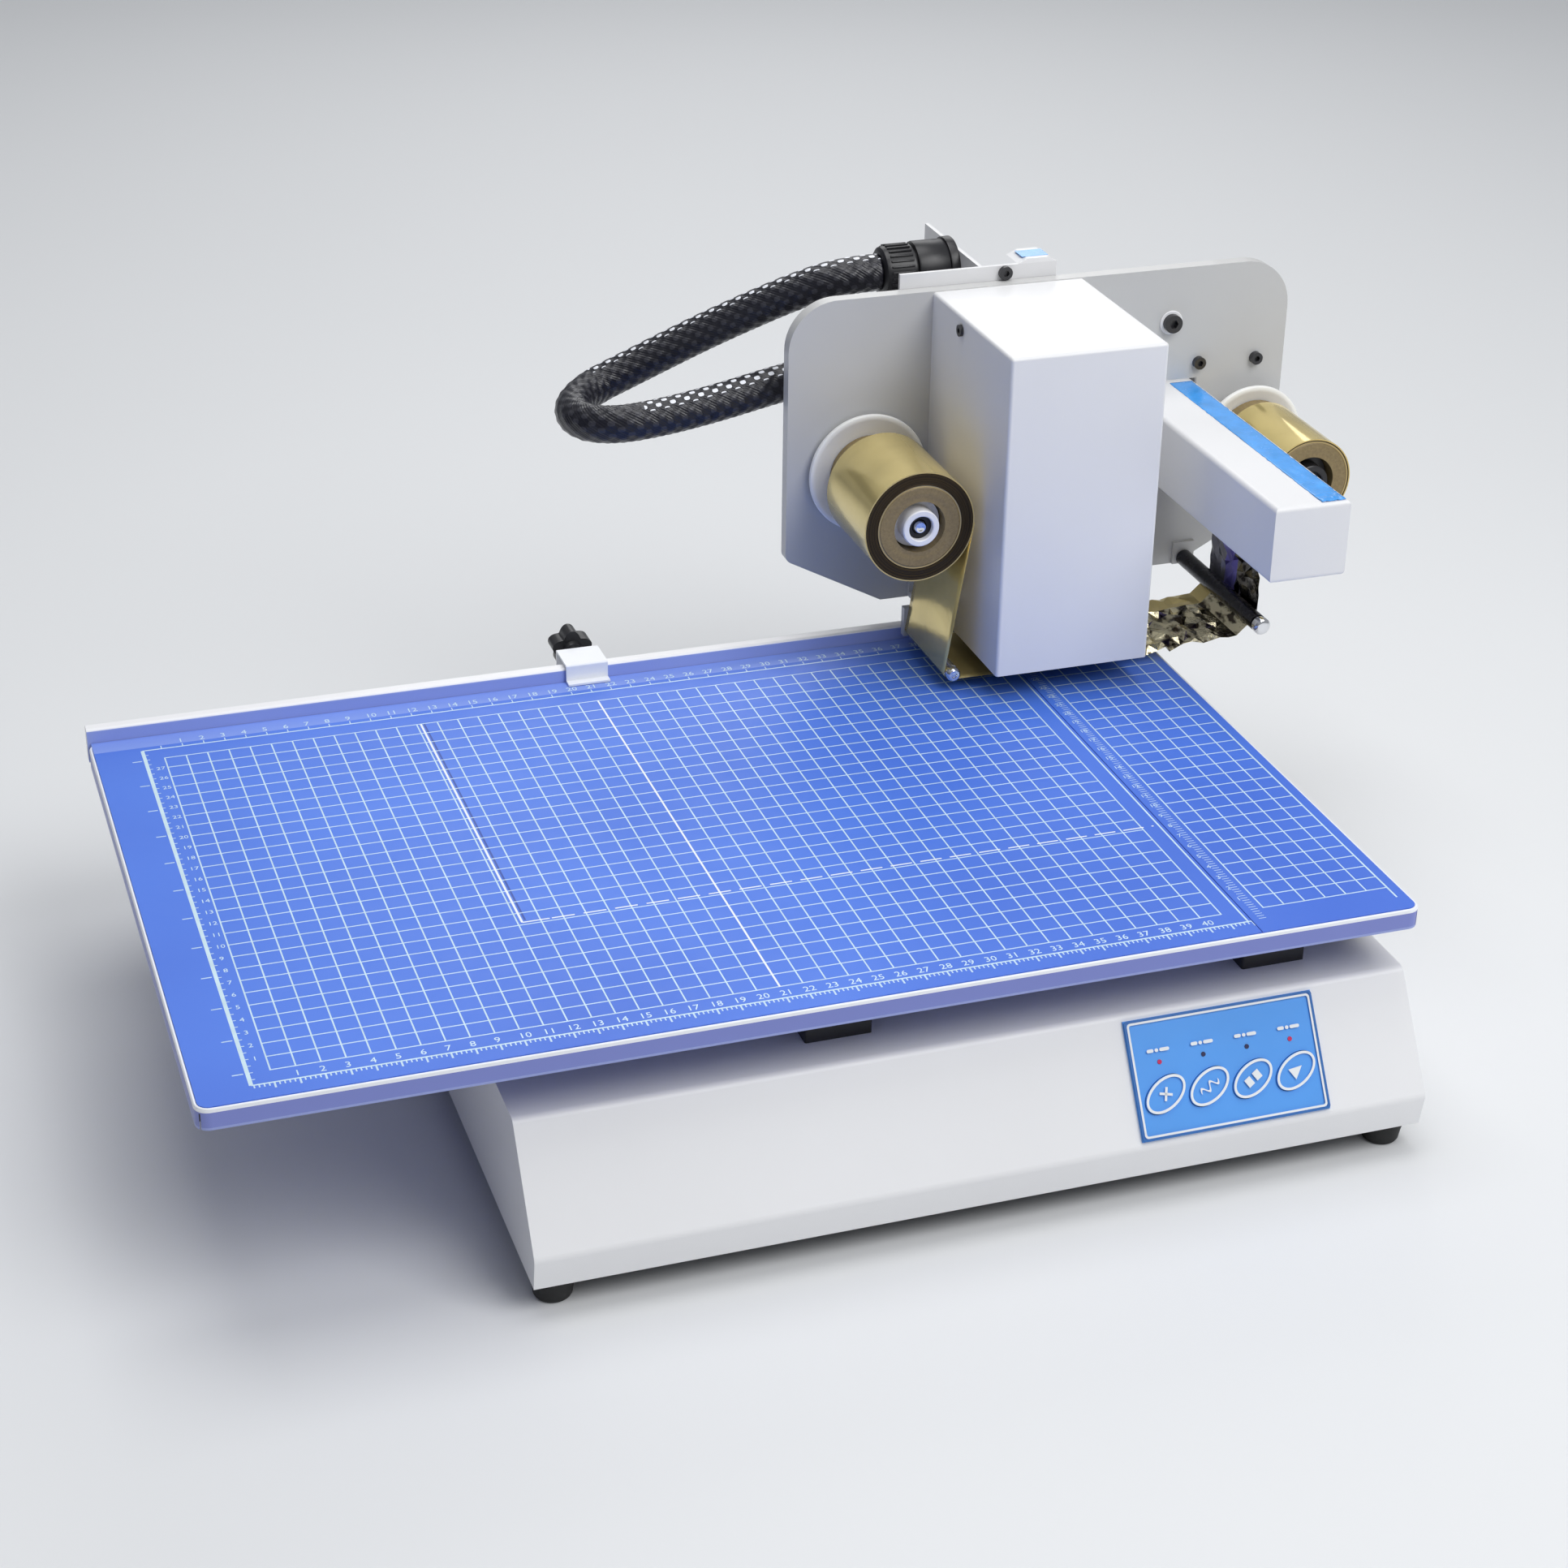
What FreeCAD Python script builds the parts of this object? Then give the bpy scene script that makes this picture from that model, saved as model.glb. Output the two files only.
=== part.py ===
import FreeCAD, Part
import math
import os
import Sketcher
from FreeCAD import Rotation, Vector

# Desktop flatbed foil printer. X runs to the right, Y to the back, Z up.
# Places are measured from the mat corner: the front left crossing of the printed grid, on the mat's top.
# The model's origin is on the table, under the middle of the whole machine.

SIZES = {
    # mat corner, from the origin
    "mat_x": -281.5, "mat_y": -179.75, "mat_z": "=base_drop + foot_high",
    # bed: folded steel tray with two self-healing mats and a fence along its back edge
    "bed_left": 32.5, "bed_front": 20.5, "bed_w": 529.0, "bed_d": 325.5, "bed_lip": 9.8,
    "tray_wall": 1.5, "bed_corner": 6.0, "mat_thick": 1.0, "mat_edge": 1.5,
    "side_mat_w": 74.4, "mat_seam": 0.6, "fence_w": 7.0, "fence_rise": 7.0,
    "main_mat_w": "=bed_w - mat_edge * 2 - mat_seam - side_mat_w",
    # bed slide: two round rails under the tray, in four bearing blocks on the base
    "rail_r": 6.0, "rail_fit": 0.05, "rail_drop": 19.0, "front_rail_y": 25.0, "rear_rail_y": 265.0,
    "block_w": 30.0, "block_d": 38.0, "left_block_x": 223.5, "block_pitch": 202.5, "block_top_gap": 3.5,
    "support_w": 12.0, "support_d": 24.0, "support_inset": 4.5, "support_drop": 27.0,
    # bed drive: motor under the top, toothed pulley and a belt clamped under the tray
    "pulley_x": 325.0, "pulley_y": 150.0, "pulley_r": 9.0, "pulley_high": 10.0, "belt_thick": 1.4,
    "belt_high": 6.0, "belt_gap": 0.3, "clamp_w": 16.0, "motor_size": 42.0, "motor_high": 38.0,
    # base housing
    "base_left": 93.0, "base_w": 402.0, "base_front": 41.0, "base_d": 421.0, "base_high": 64.0,
    "base_gap": 34.0, "base_drop": "=base_high + base_gap", "knee_out": 2.7, "knee_up": 15.5, "fold_in": 28.5,
    "shell_wall": 1.5,
    "fold_r": 4.0, "foot_r": 10.0, "foot_high": 13.0, "foot_inset": 11.0, "foot_front": 13.0,
    # control panel on the sloping front
    "panel_x": 266.5, "panel_w": 89.0, "panel_high": 52.0, "panel_low": 2.6, "panel_thick": 0.8,
    "key_first": 13.8, "key_pitch": 20.6, "key_up": 18.7, "key_turn": 32.0,
    "key_long": "=key_pitch * 0.515", "key_short": "=key_pitch * 0.32",
    "key_fit": 0.25, "key_proud": 0.5, "key_stroke": 0.8, "key_thick": 3.2, "lamp_r": 1.0, "lamp_up": 32.6,
    "switch_w": 6.0, "switch_high": 3.5, "board_thick": 1.6, "window_inset": 2.8,
    # head
    "head_x": 434.0, "plate_y": 320.0, "plate_left": 114.5, "plate_w": 269.5, "plate_bottom": 16.0,
    "plate_high": 162.0, "plate_r": 25.0, "plate_rim": 7.0, "plate_wall": 2.0, "chamfer_w": 51.5,
    "chamfer_high": 27.7, "cover_w": 80.0, "cover_d": 101.0, "cover_high": 162.5, "cover_wall": 1.5,
    "cover_bottom": 15.0, "cover_r": 1.6,
    # cross beam that carries the head from front to back, and the column behind it
    "beam_x": 500.6, "beam_w": 38.9, "beam_high": 38.0, "beam_bottom": 79.5, "beam_front": 150.0,
    "beam_wall": 1.5, "beam_r": 2.5, "beam_fit": 1.2, "guide_w": 12.0, "guide_high": 8.0,
    "carriage_w": 27.0, "carriage_high": 12.0, "carriage_d": 52.0, "slide_fit": 0.1,
    "column_x": 436.0, "column_w": 58.0, "column_y": 345.0, "column_d": 35.0, "column_top": 136.0,
    # foil path
    "supply_x": 360.5, "supply_z": 88.5, "take_x": 568.0, "take_z": 88.0, "foil_front": 242.0, "foil_w": 55.0,
    "supply_flange_r": 30.7, "supply_gap": 3.0, "take_flange_r": 27.5, "take_gap": 11.0, "flange_thick": 3.0,
    "core_in": 12.8, "core_out": 20.5, "supply_r": 28.0, "take_r": 22.5, "shaft_r": 6.0, "shaft_fit": 0.05,
    "hub_r": 9.3, "foil_thick": 0.3, "left_rod_x": 380.0, "left_rod_z": 9.0, "left_rod_r": 3.5,
    "right_bar_x": 540.2, "right_bar_z": 19.8, "right_bar_r": 4.4, "right_bar_front": 224.0, "foil_low": 4.8,
    # print head
    "print_w": 60.0, "print_low": 11.0, "sink_high": 34.0,
    # stop clip on the fence
    "clip_x": 200.4, "clip_w": 21.2, "clip_wall": 1.2, "clip_front": 303.0, "clip_back": 323.0, "clip_top": 9.5,
    "clip_foot": 4.5, "clip_leg": 6.0, "knob_r": 11.4, "knob_z": 4.0, "knob_y": 331.0, "knob_thick": 10.0,
    "stem_r": 3.0,
    # hose between the head's bracket and the column
    "hose_r": 9.5, "gland_r": 14.0, "gland_x": 382.0, "gland_y": 366.0, "gland_z": 174.5, "gland_long": 39.0,
    "wall_x": 421.0, "bracket_top": 185.4, "bracket_left": 379.0, "bracket_w": 83.0, "bracket_low": 62.0,
    "bracket_wall": 2.0, "bracket_back": 403.0, "hump_x": 441.5, "hump_w": 20.0, "hump_high": 2.4,
    "low_gland_y": 360.0, "low_gland_z": 126.0, "low_gland_long": 24.0,
}

doc = FreeCAD.newDocument("foil_printer")
sheet = doc.addObject("Spreadsheet::Sheet", "dims")
for line, name in enumerate(SIZES, start=1):
    sheet.set(f"A{line}", name)
    sheet.setAlias(f"B{line}", name)
for line, value in enumerate(SIZES.values(), start=1):
    sheet.set(f"B{line}", str(value))
doc.recompute()


class Size:
    """A number with the spreadsheet formula that it came from."""

    def __init__(self, value, text=None):
        self.value = float(value)
        self.text = repr(self.value) if text is None else text

    def joined(self, other, sign, value):
        return Size(value, f"({self.text} {sign} {other.text})")

    def __add__(self, other):
        other = size(other)
        return self.joined(other, "+", self.value + other.value)

    def __sub__(self, other):
        other = size(other)
        return self.joined(other, "-", self.value - other.value)

    def __mul__(self, other):
        other = size(other)
        return self.joined(other, "*", self.value * other.value)

    def __truediv__(self, other):
        other = size(other)
        return self.joined(other, "/", self.value / other.value)

    def __radd__(self, other):
        return size(other) + self

    def __rsub__(self, other):
        return size(other) - self

    def __rmul__(self, other):
        return size(other) * self

    def __neg__(self):
        return size(0) - self


def size(number):
    return number if isinstance(number, Size) else Size(number)


def cosine(angle):
    return Size(math.cos(math.radians(angle.value)), f"cos({angle.text})")


def sine(angle):
    return Size(math.sin(math.radians(angle.value)), f"sin({angle.text})")


class Cells:
    """The sheet's cells by name, as sizes."""

    def __getattr__(self, name):
        return Size(sheet.get(name), f"dims.{name}")


d = Cells()
nodes = []
X, Y, Z = Vector(1, 0, 0), Vector(0, 1, 0), Vector(0, 0, 1)


# ---- helpers ---------------------------------------------------------------------------------

def bind(thing, prop, number):
    thing.setExpression(prop, size(number).text)


def place(thing, at, turn=None):
    """Binds a placement to three sizes, turned by (axis, angle)."""
    if turn:
        axis, angle = turn
        thing.Placement = FreeCAD.Placement(Vector(), Rotation(axis, size(angle).value))
        bind(thing, "Placement.Rotation.Angle", angle)
    for letter, number in zip("xyz", at):
        bind(thing, f"Placement.Base.{letter}", number)


def from_mat(x, y, z):
    """A point measured from the mat corner."""
    return (d.mat_x + x, d.mat_y + y, d.mat_z + z)


def keep(thing, label):
    """Names a finished sub-part, to be written as a node."""
    thing.Label = label
    nodes.append(thing)
    return thing


def new_body(name):
    return doc.addObject("PartDesign::Body", name)


def flat(body, role, lift=0):
    """A sketch on one of the body's origin planes, moved along its normal by lift."""
    plane = next(o for o in body.Origin.OriginFeatures if o.Role == role)
    sketch = body.newObject("Sketcher::SketchObject", body.Name + "_outline")
    sketch.AttachmentSupport = [(plane, "")]
    sketch.MapMode = "FlatFace"
    bind(sketch, "AttachmentOffset.Base.z", lift)
    return sketch


def pin_down(sketch, edge, u, v):
    """Ties the start point of an edge to its two distances from the sketch's origin."""
    for kind, axis, number in (("DistanceX", -2, size(u)), ("DistanceY", -1, size(v))):
        if number.text == "0.0":
            sketch.addConstraint(Sketcher.Constraint("PointOnObject", edge, 1, axis))
            continue
        index = sketch.addConstraint(Sketcher.Constraint(kind, -1, 1, edge, 1, number.value))
        sketch.setExpression(f"Constraints[{index}]", number.text)


def draw(sketch, points):
    """A closed outline of straight edges through points of two sizes."""
    spots = [Vector(size(u).value, size(v).value, 0) for u, v in points]
    first = sketch.GeometryCount
    count = len(spots)
    for i in range(count):
        sketch.addGeometry(Part.LineSegment(spots[i], spots[(i + 1) % count]), False)
    for i in range(count):
        sketch.addConstraint(Sketcher.Constraint("Coincident", first + i, 2, first + (i + 1) % count, 1))
    for i, (u, v) in enumerate(points):
        pin_down(sketch, first + i, u, v)


def ring(sketch, radius, u=0, v=0):
    """A circle of the given radius about a point."""
    radius, u, v = size(radius), size(u), size(v)
    edge = sketch.addGeometry(Part.Circle(Vector(u.value, v.value, 0), Z, radius.value), False)
    index = sketch.addConstraint(Sketcher.Constraint("Radius", edge, radius.value))
    sketch.setExpression(f"Constraints[{index}]", radius.text)
    for kind, axis, number in (("DistanceX", -2, u), ("DistanceY", -1, v)):
        if number.text == "0.0":
            sketch.addConstraint(Sketcher.Constraint("PointOnObject", edge, 3, axis))
            continue
        index = sketch.addConstraint(Sketcher.Constraint(kind, -1, 1, edge, 3, number.value))
        sketch.setExpression(f"Constraints[{index}]", number.text)


def extrude(body, sketch, kind, length, back=False):
    """A Pad or Pocket of a sketch."""
    feature = body.newObject(f"PartDesign::{kind}", f"{body.Name}_{kind}")
    feature.Profile = sketch
    bind(feature, "Length", length)
    feature.Reversed = back
    sketch.Visibility = False
    doc.recompute()
    return feature


def soften(body, radius, wanted, kind="Fillet"):
    """Rounds or bevels the edges of the body's tip that wanted(edge) accepts."""
    tip = body.Tip
    names = [f"Edge{i}" for i, edge in enumerate(tip.Shape.Edges, start=1) if wanted(edge)]
    feature = body.newObject(f"PartDesign::{kind}", f"{body.Name}_{kind}")
    feature.Base = (tip, names)
    bind(feature, "Radius" if kind == "Fillet" else "Size", radius)
    doc.recompute()
    return feature


def along(axis):
    """Picks straight edges that run along an axis."""
    def wanted(edge):
        a, b = edge.Vertexes[0].Point, edge.Vertexes[-1].Point
        run = b - a
        return run.Length > 1e-6 and abs(run.normalize().dot(axis)) > 0.999
    return wanted


def block(name, lengths, at, turn=None):
    """A rectangular body with its low corner at a point."""
    body = new_body(name)
    sketch = flat(body, "XY_Plane")
    w, deep, high = lengths
    draw(sketch, [(0, 0), (w, 0), (w, deep), (0, deep)])
    extrude(body, sketch, "Pad", high)
    place(body, at, turn)
    return body


def turned(name, profile, axis, at):
    """A body of revolution from (along, radius) points, about X, Y or Z through a point."""
    body = new_body(name)
    role = "XZ_Plane" if axis == "Z" else "XY_Plane"
    sketch = flat(body, role)
    if axis == "X":
        draw(sketch, profile)
    else:
        draw(sketch, [(radius, run) for run, radius in profile])
    feature = body.newObject("PartDesign::Revolution", name + "_turn")
    feature.Profile = sketch
    feature.ReferenceAxis = (sketch, ["H_Axis" if axis == "X" else "V_Axis"])
    feature.Angle = 360
    sketch.Visibility = False
    doc.recompute()
    place(body, at)
    return body


def tube(name, outer, inner, length, axis, at):
    """A straight tube or, with no inner radius, a rod."""
    return turned(name, [(0, inner), (length, inner), (length, outer), (0, outer)], axis, at)


def cut(base, *tools):
    """Cuts tools out of a base, one after another."""
    for tool in tools:
        step = doc.addObject("Part::Cut", f"{base.Name}_cut")
        step.Base, step.Tool = base, tool
        base = step
    doc.recompute()
    return base


def joined(name, *pieces):
    """Pieces that are welded or moulded as one."""
    whole = doc.addObject("Part::MultiFuse", name)
    whole.Shapes = list(pieces)
    doc.recompute()
    return whole


def group(name, pieces):
    """Separate solids that share a node."""
    whole = doc.addObject("Part::Compound", name)
    whole.Links = list(pieces)
    doc.recompute()
    return whole


def bar(name, lengths, at, turn=None):
    """A plain box, for a tool that cuts or a piece of a group."""
    box = doc.addObject("Part::Box", name)
    for prop, number in zip(("Length", "Width", "Height"), lengths):
        bind(box, prop, number)
    place(box, at, turn)
    return box


def rod(name, radius, length, axis, at):
    """A plain cylinder that starts at a point and runs along an axis."""
    cylinder = doc.addObject("Part::Cylinder", name)
    bind(cylinder, "Radius", radius)
    bind(cylinder, "Height", length)
    turn = {"X": (Y, 90), "Y": (X, -90), "Z": None}[axis]
    place(cylinder, at, turn)
    return cylinder


# ---- base ------------------------------------------------------------------------------------

base_at = from_mat(d.base_left, -d.base_front, -d.base_drop)
slope = Size(
    math.degrees(math.atan2(SIZES["base_high"] - SIZES["knee_up"], SIZES["fold_in"] + SIZES["knee_out"])),
    "atan2(dims.base_high - dims.knee_up; dims.fold_in + dims.knee_out)",
)


def on_slope(x, up, proud):
    """A point of the sloping front: across, up the slope from its lower fold, and out of it."""
    return from_mat(
        d.base_left + x,
        up * cosine(slope) - proud * sine(slope) - d.base_front - d.knee_out,
        up * sine(slope) + proud * cosine(slope) - d.base_drop + d.knee_up,
    )


tilt = (X, slope)


def base_shell():
    """Folded sheet housing, open below, with a window for the keys and cut-outs at the back."""
    body = new_body("housing")
    wall = d.shell_wall
    outer = flat(body, "YZ_Plane")
    draw(outer, [(0, 0), (-d.knee_out, d.knee_up), (d.fold_in, d.base_high),
                 (d.base_d, d.base_high), (d.base_d, 0)])
    extrude(body, outer, "Pad", d.base_w)
    soften(body, d.fold_r, lambda e: along(X)(e) and e.BoundBox.ZMin > 1.0)
    inner = flat(body, "YZ_Plane", wall)
    draw(inner, [(wall, 0), (wall - d.knee_out, d.knee_up), (d.fold_in + wall * 0.6, d.base_high - wall),
                 (d.base_d - wall, d.base_high - wall), (d.base_d - wall, 0)])
    extrude(body, inner, "Pocket", d.base_w - wall * 2, back=True)
    place(body, base_at)
    inset = d.window_inset
    window = bar("key_window", (d.panel_w - inset * 2, d.panel_high - inset * 2, wall * 6),
                 on_slope(d.panel_x + inset, d.panel_low + inset, -wall * 4), tilt)
    back = d.base_d - d.base_front
    inlet = bar("inlet_window", (27.4, 8, 20.4), from_mat(d.base_left + 39.8, back - 4, 19.8 - d.base_drop))
    switch = bar("switch_window", (19.4, 8, 13.4), from_mat(d.base_left + 81.8, back - 4, 22.8 - d.base_drop))
    usb = bar("usb_window", (12.4, 8, 11.4), from_mat(d.base_left + 121.8, back - 4, 23.8 - d.base_drop))
    shaft = rod("motor_window", 12, 6, "Z",
                from_mat(d.pulley_x, d.pulley_y, d.base_high - d.base_drop - 4))
    return keep(cut(body, window, inlet, switch, usb, shaft), "base_shell")


def base_plate():
    gap = d.shell_wall + 0.1
    keep(block("floor_plate", (d.base_w - gap * 2, d.base_d - gap * 2, d.shell_wall),
               from_mat(d.base_left + gap, gap - d.base_front, -d.base_drop)), "base_plate")


def rubber_feet():
    """Four tapered feet, screwed under the floor plate."""
    feet = []
    for i, x in enumerate((d.foot_inset, d.base_w - d.foot_inset)):
        for j, y in enumerate((d.foot_front, d.base_d - d.foot_front)):
            foot = doc.addObject("Part::Cone", f"foot_{i}{j}")
            bind(foot, "Radius1", d.foot_r - 2.0)
            bind(foot, "Radius2", d.foot_r)
            bind(foot, "Height", d.foot_high)
            place(foot, from_mat(d.base_left + x, y - d.base_front, -d.base_drop - d.foot_high))
            feet.append(foot)
    keep(group("feet", feet), "rubber_feet")


KEYS = ("cancel_button", "test_button", "repeat_button", "start_button")


def key_x(i):
    return d.panel_x + d.key_first + d.key_pitch * i


def oval(name, grow, length, at):
    """A tilted oval column on the sloping front, the size of a key and grown by a clearance."""
    outline = doc.addObject("Part::Ellipse", name + "_outline")
    bind(outline, "MajorRadius", d.key_long + grow)
    bind(outline, "MinorRadius", d.key_short + grow)
    place(outline, (0, 0, 0), (Z, d.key_turn))
    column = doc.addObject("Part::Extrusion", name)
    column.Base = outline
    column.DirMode = "Custom"
    column.Dir = (0, 0, 1)
    column.Solid = True
    bind(column, "LengthFwd", length)
    place(column, at, tilt)
    doc.recompute()
    return column


def control_panel():
    """Printed overlay with a window for each key and a hole for each lamp."""
    body = block("overlay", (d.panel_w, d.panel_high, d.panel_thick),
                 on_slope(d.panel_x, d.panel_low, 0), tilt)
    holes = flat(body, "XY_Plane", d.panel_thick)
    for i in range(len(KEYS)):
        ring(holes, d.lamp_r + 0.05, d.key_first + d.key_pitch * i, d.lamp_up)
    extrude(body, holes, "Pocket", d.panel_thick * 2)
    windows = [oval(f"key_hole_{i}", d.key_fit, d.panel_thick * 3,
                    on_slope(key_x(i), d.panel_low + d.key_up, -d.panel_thick)) for i in range(len(KEYS))]
    keep(cut(body, *windows), "control_panel")


def keys():
    """Four sprung keys with a short stroke down to their switches."""
    low = d.panel_thick + d.key_proud - d.key_thick
    for i, label in enumerate(KEYS):
        keep(oval(label + "_cap", 0, d.key_thick, on_slope(key_x(i), d.panel_low + d.key_up, low)), label)


def key_board():
    """Circuit board behind the panel, with a switch under each key and a lamp above it."""
    under = d.panel_thick + d.key_proud - d.key_thick - d.key_stroke - 0.2
    face = under - d.switch_high
    switches = []
    lamps = []
    for i in range(len(KEYS)):
        half = d.switch_w / 2
        at = on_slope(key_x(i) - half, d.panel_low + d.key_up - half, face)
        switches.append(bar(f"switch_{i}", (d.switch_w, d.switch_w, d.switch_high), at, tilt))
        lamp = doc.addObject("Part::Cylinder", f"lamp_{i}")
        bind(lamp, "Radius", d.lamp_r)
        bind(lamp, "Height", d.panel_thick + 0.3 - face)
        place(lamp, on_slope(key_x(i), d.panel_low + d.lamp_up, face), tilt)
        lamps.append(lamp)
    board = block("front_board", (d.panel_w - 2, d.panel_high - 2, d.board_thick),
                  on_slope(d.panel_x + 1, d.panel_low + 1, face - d.board_thick), tilt)
    reach = 2.0
    slack = 0.1
    posts = []
    for i, x in enumerate((reach, d.panel_w - reach)):
        for j, up in enumerate((reach, d.panel_high - reach)):
            post = doc.addObject("Part::Cylinder", f"board_post_{i}{j}")
            bind(post, "Radius", 1.5)
            bind(post, "Height", -d.shell_wall - slack - face)
            place(post, on_slope(d.panel_x + x, d.panel_low + up, face), tilt)
            posts.append(post)
    keep(group("key_board_set", [board] + switches + posts), "key_board")
    keep(group("lamps", lamps), "status_lamps")


def electronics():
    """Mains inlet, rocker switch, data socket, power supply and controller inside the base."""
    back = d.base_d - d.base_front
    rise = -d.base_drop
    flange = block("inlet_flange", (31, 2, 24), from_mat(d.base_left + 38, back, rise + 18))
    shell = block("inlet_body", (27, 22, 20), from_mat(d.base_left + 40, back - 20, rise + 20))
    well = bar("inlet_well", (23, 16, 16), from_mat(d.base_left + 42, back - 13, rise + 22))
    pins = [bar(f"inlet_pin_{i}", (2, 13, 4), from_mat(d.base_left + 45.5 + 7 * i, back - 13.5, rise + 28))
            for i in range(3)]
    keep(joined("inlet", cut(joined("inlet_case", flange, shell), well), *pins), "power_inlet")
    frame = block("switch_flange", (23, 2, 17), from_mat(d.base_left + 80, back, rise + 21))
    case = block("switch_body", (19, 18, 13), from_mat(d.base_left + 82, back - 16, rise + 23))
    pit = bar("switch_pit", (15, 9, 9), from_mat(d.base_left + 84, back - 6.5, rise + 25))
    keep(cut(joined("switch_case", frame, case), pit), "switch_housing")
    rocker = new_body("rocker")
    side = flat(rocker, "XY_Plane", 0)
    draw(side, [(-6.8, -2.2), (6.8, -2.2), (6.8, 1.9), (0, 0.7), (-6.8, 2.7)])
    tall = 8.4
    extrude(rocker, side, "Pad", tall)
    place(rocker, from_mat(d.base_left + 91.5, back + 1.2, rise + 25.3))
    pin_end = 0.25
    pin = rod("rocker_pin", 0.9, tall + pin_end * 2, "Z",
              from_mat(d.base_left + 91.5, back + 1.2, rise + 25.3 - pin_end))
    keep(joined("rocker_whole", rocker, pin), "power_rocker")
    usb = block("usb_shell", (12, 16, 11), from_mat(d.base_left + 122, back - 15, rise + 24))
    mouth = bar("usb_mouth", (8.5, 9, 7.5), from_mat(d.base_left + 123.75, back - 7, rise + 25.75))
    keep(cut(usb, mouth), "usb_socket")
    supply = block("supply_case", (150, 90, 36), from_mat(d.base_left + 25, back - 150, rise + d.shell_wall))
    keep(supply, "power_supply")
    board = block("main_board_sheet", (130, 95, 1.6), from_mat(d.base_left + 230, back - 200, rise + 12))
    parts = [bar(f"chip_{i}", (16, 16, 3), from_mat(d.base_left + 245 + 34 * i, back - 160, rise + 13.5))
             for i in range(3)]
    legs = [rod(f"board_leg_{i}", 3, 12.5 - d.shell_wall, "Z",
                from_mat(d.base_left + 236 + 118 * (i % 2), back - 194 + 83 * (i // 2), rise + d.shell_wall))
            for i in range(4)]
    keep(joined("controller", board, *parts, *legs), "controller_board")


# ---- bed slide -------------------------------------------------------------------------------

def bearing_blocks():
    """Four black blocks bored for the rails."""
    blocks = []
    low = d.base_high - d.base_drop
    top = -d.mat_thick - d.tray_wall - d.block_top_gap
    for i in range(2):
        for j, y in enumerate((d.front_rail_y, d.rear_rail_y)):
            body = block(f"bearing_{i}{j}", (d.block_w, d.block_d, top - low),
                         from_mat(d.left_block_x + d.block_pitch * i, y - d.block_d / 2, low))
            side = flat(body, "YZ_Plane", 0)
            ring(side, d.rail_r + d.rail_fit, d.block_d / 2, -d.rail_drop - low)
            extrude(body, side, "Pocket", d.block_w, back=True)
            soften(body, 1.0, lambda e: along(Z)(e))
            blocks.append(body)
    keep(group("blocks", blocks), "bearing_blocks")


def bed_rails():
    """Two ground rods and the supports that hang them from the tray."""
    rods = []
    supports = []
    length = d.bed_w - d.support_inset * 2
    under = -d.mat_thick - d.tray_wall
    for j, y in enumerate((d.front_rail_y, d.rear_rail_y)):
        start = from_mat(d.support_inset - d.bed_left, y, -d.rail_drop)
        rods.append(rod(f"rail_{j}", d.rail_r, length, "X", start))
        for i, x in enumerate((d.support_inset - d.bed_left,
                               d.bed_w - d.bed_left - d.support_inset - d.support_w)):
            post = block(f"support_{i}{j}", (d.support_w, d.support_d, d.support_drop + under),
                         from_mat(x, y - d.support_d / 2, -d.support_drop))
            side = flat(post, "YZ_Plane", 0)
            ring(side, d.rail_r, d.support_d / 2, d.support_drop - d.rail_drop)
            extrude(post, side, "Pocket", d.support_w, back=True)
            supports.append(post)
    keep(group("rails", rods), "bed_rails")
    keep(group("supports", supports), "rail_supports")


def bed_drive():
    """Stepper motor under the housing's top, its pulley, and the belt clamped under the tray."""
    top = d.base_high - d.base_drop
    half = d.motor_size / 2
    motor = block("bed_motor_case", (d.motor_size, d.motor_size, d.motor_high),
                  from_mat(d.pulley_x - half, d.pulley_y - half, top - d.shell_wall - d.motor_high - 0.1))
    soften(motor, 4.0, along(Z), "Chamfer")
    boss = rod("motor_boss", 11, 2, "Z", from_mat(d.pulley_x, d.pulley_y, top - d.shell_wall - 0.5))
    keep(joined("bed_motor_whole", motor, boss), "bed_motor")
    low = top + 6
    wheel = turned("pulley_wheel", [
        (0, 0), (0, d.pulley_r + 1.5), (1.2, d.pulley_r + 1.5), (1.2, d.pulley_r),
        (d.pulley_high - 1.2, d.pulley_r), (d.pulley_high - 1.2, d.pulley_r + 1.5),
        (d.pulley_high, d.pulley_r + 1.5), (d.pulley_high, 0)], "Z", from_mat(d.pulley_x, d.pulley_y, low))
    axle = rod("pulley_axle", 2.5, 4.2, "Z", from_mat(d.pulley_x, d.pulley_y, low - 4))
    keep(joined("pulley", wheel, axle), "drive_pulley")
    belt_y = d.pulley_y + d.pulley_r + d.belt_gap
    left = d.support_inset + 20 - d.bed_left
    length = d.bed_w - d.support_inset * 2 - 40
    keep(block("belt", (length, d.belt_thick, d.belt_high), from_mat(left, belt_y, low + 2)), "drive_belt")
    clamps = [bar(f"belt_clamp_{i}", (d.clamp_w, 10, -d.mat_thick - d.tray_wall - low - 1),
                  from_mat(x, belt_y + d.belt_thick, low + 1))
              for i, x in enumerate((left, left + length - d.clamp_w))]
    keep(group("clamps", clamps), "belt_clamps")


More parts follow.
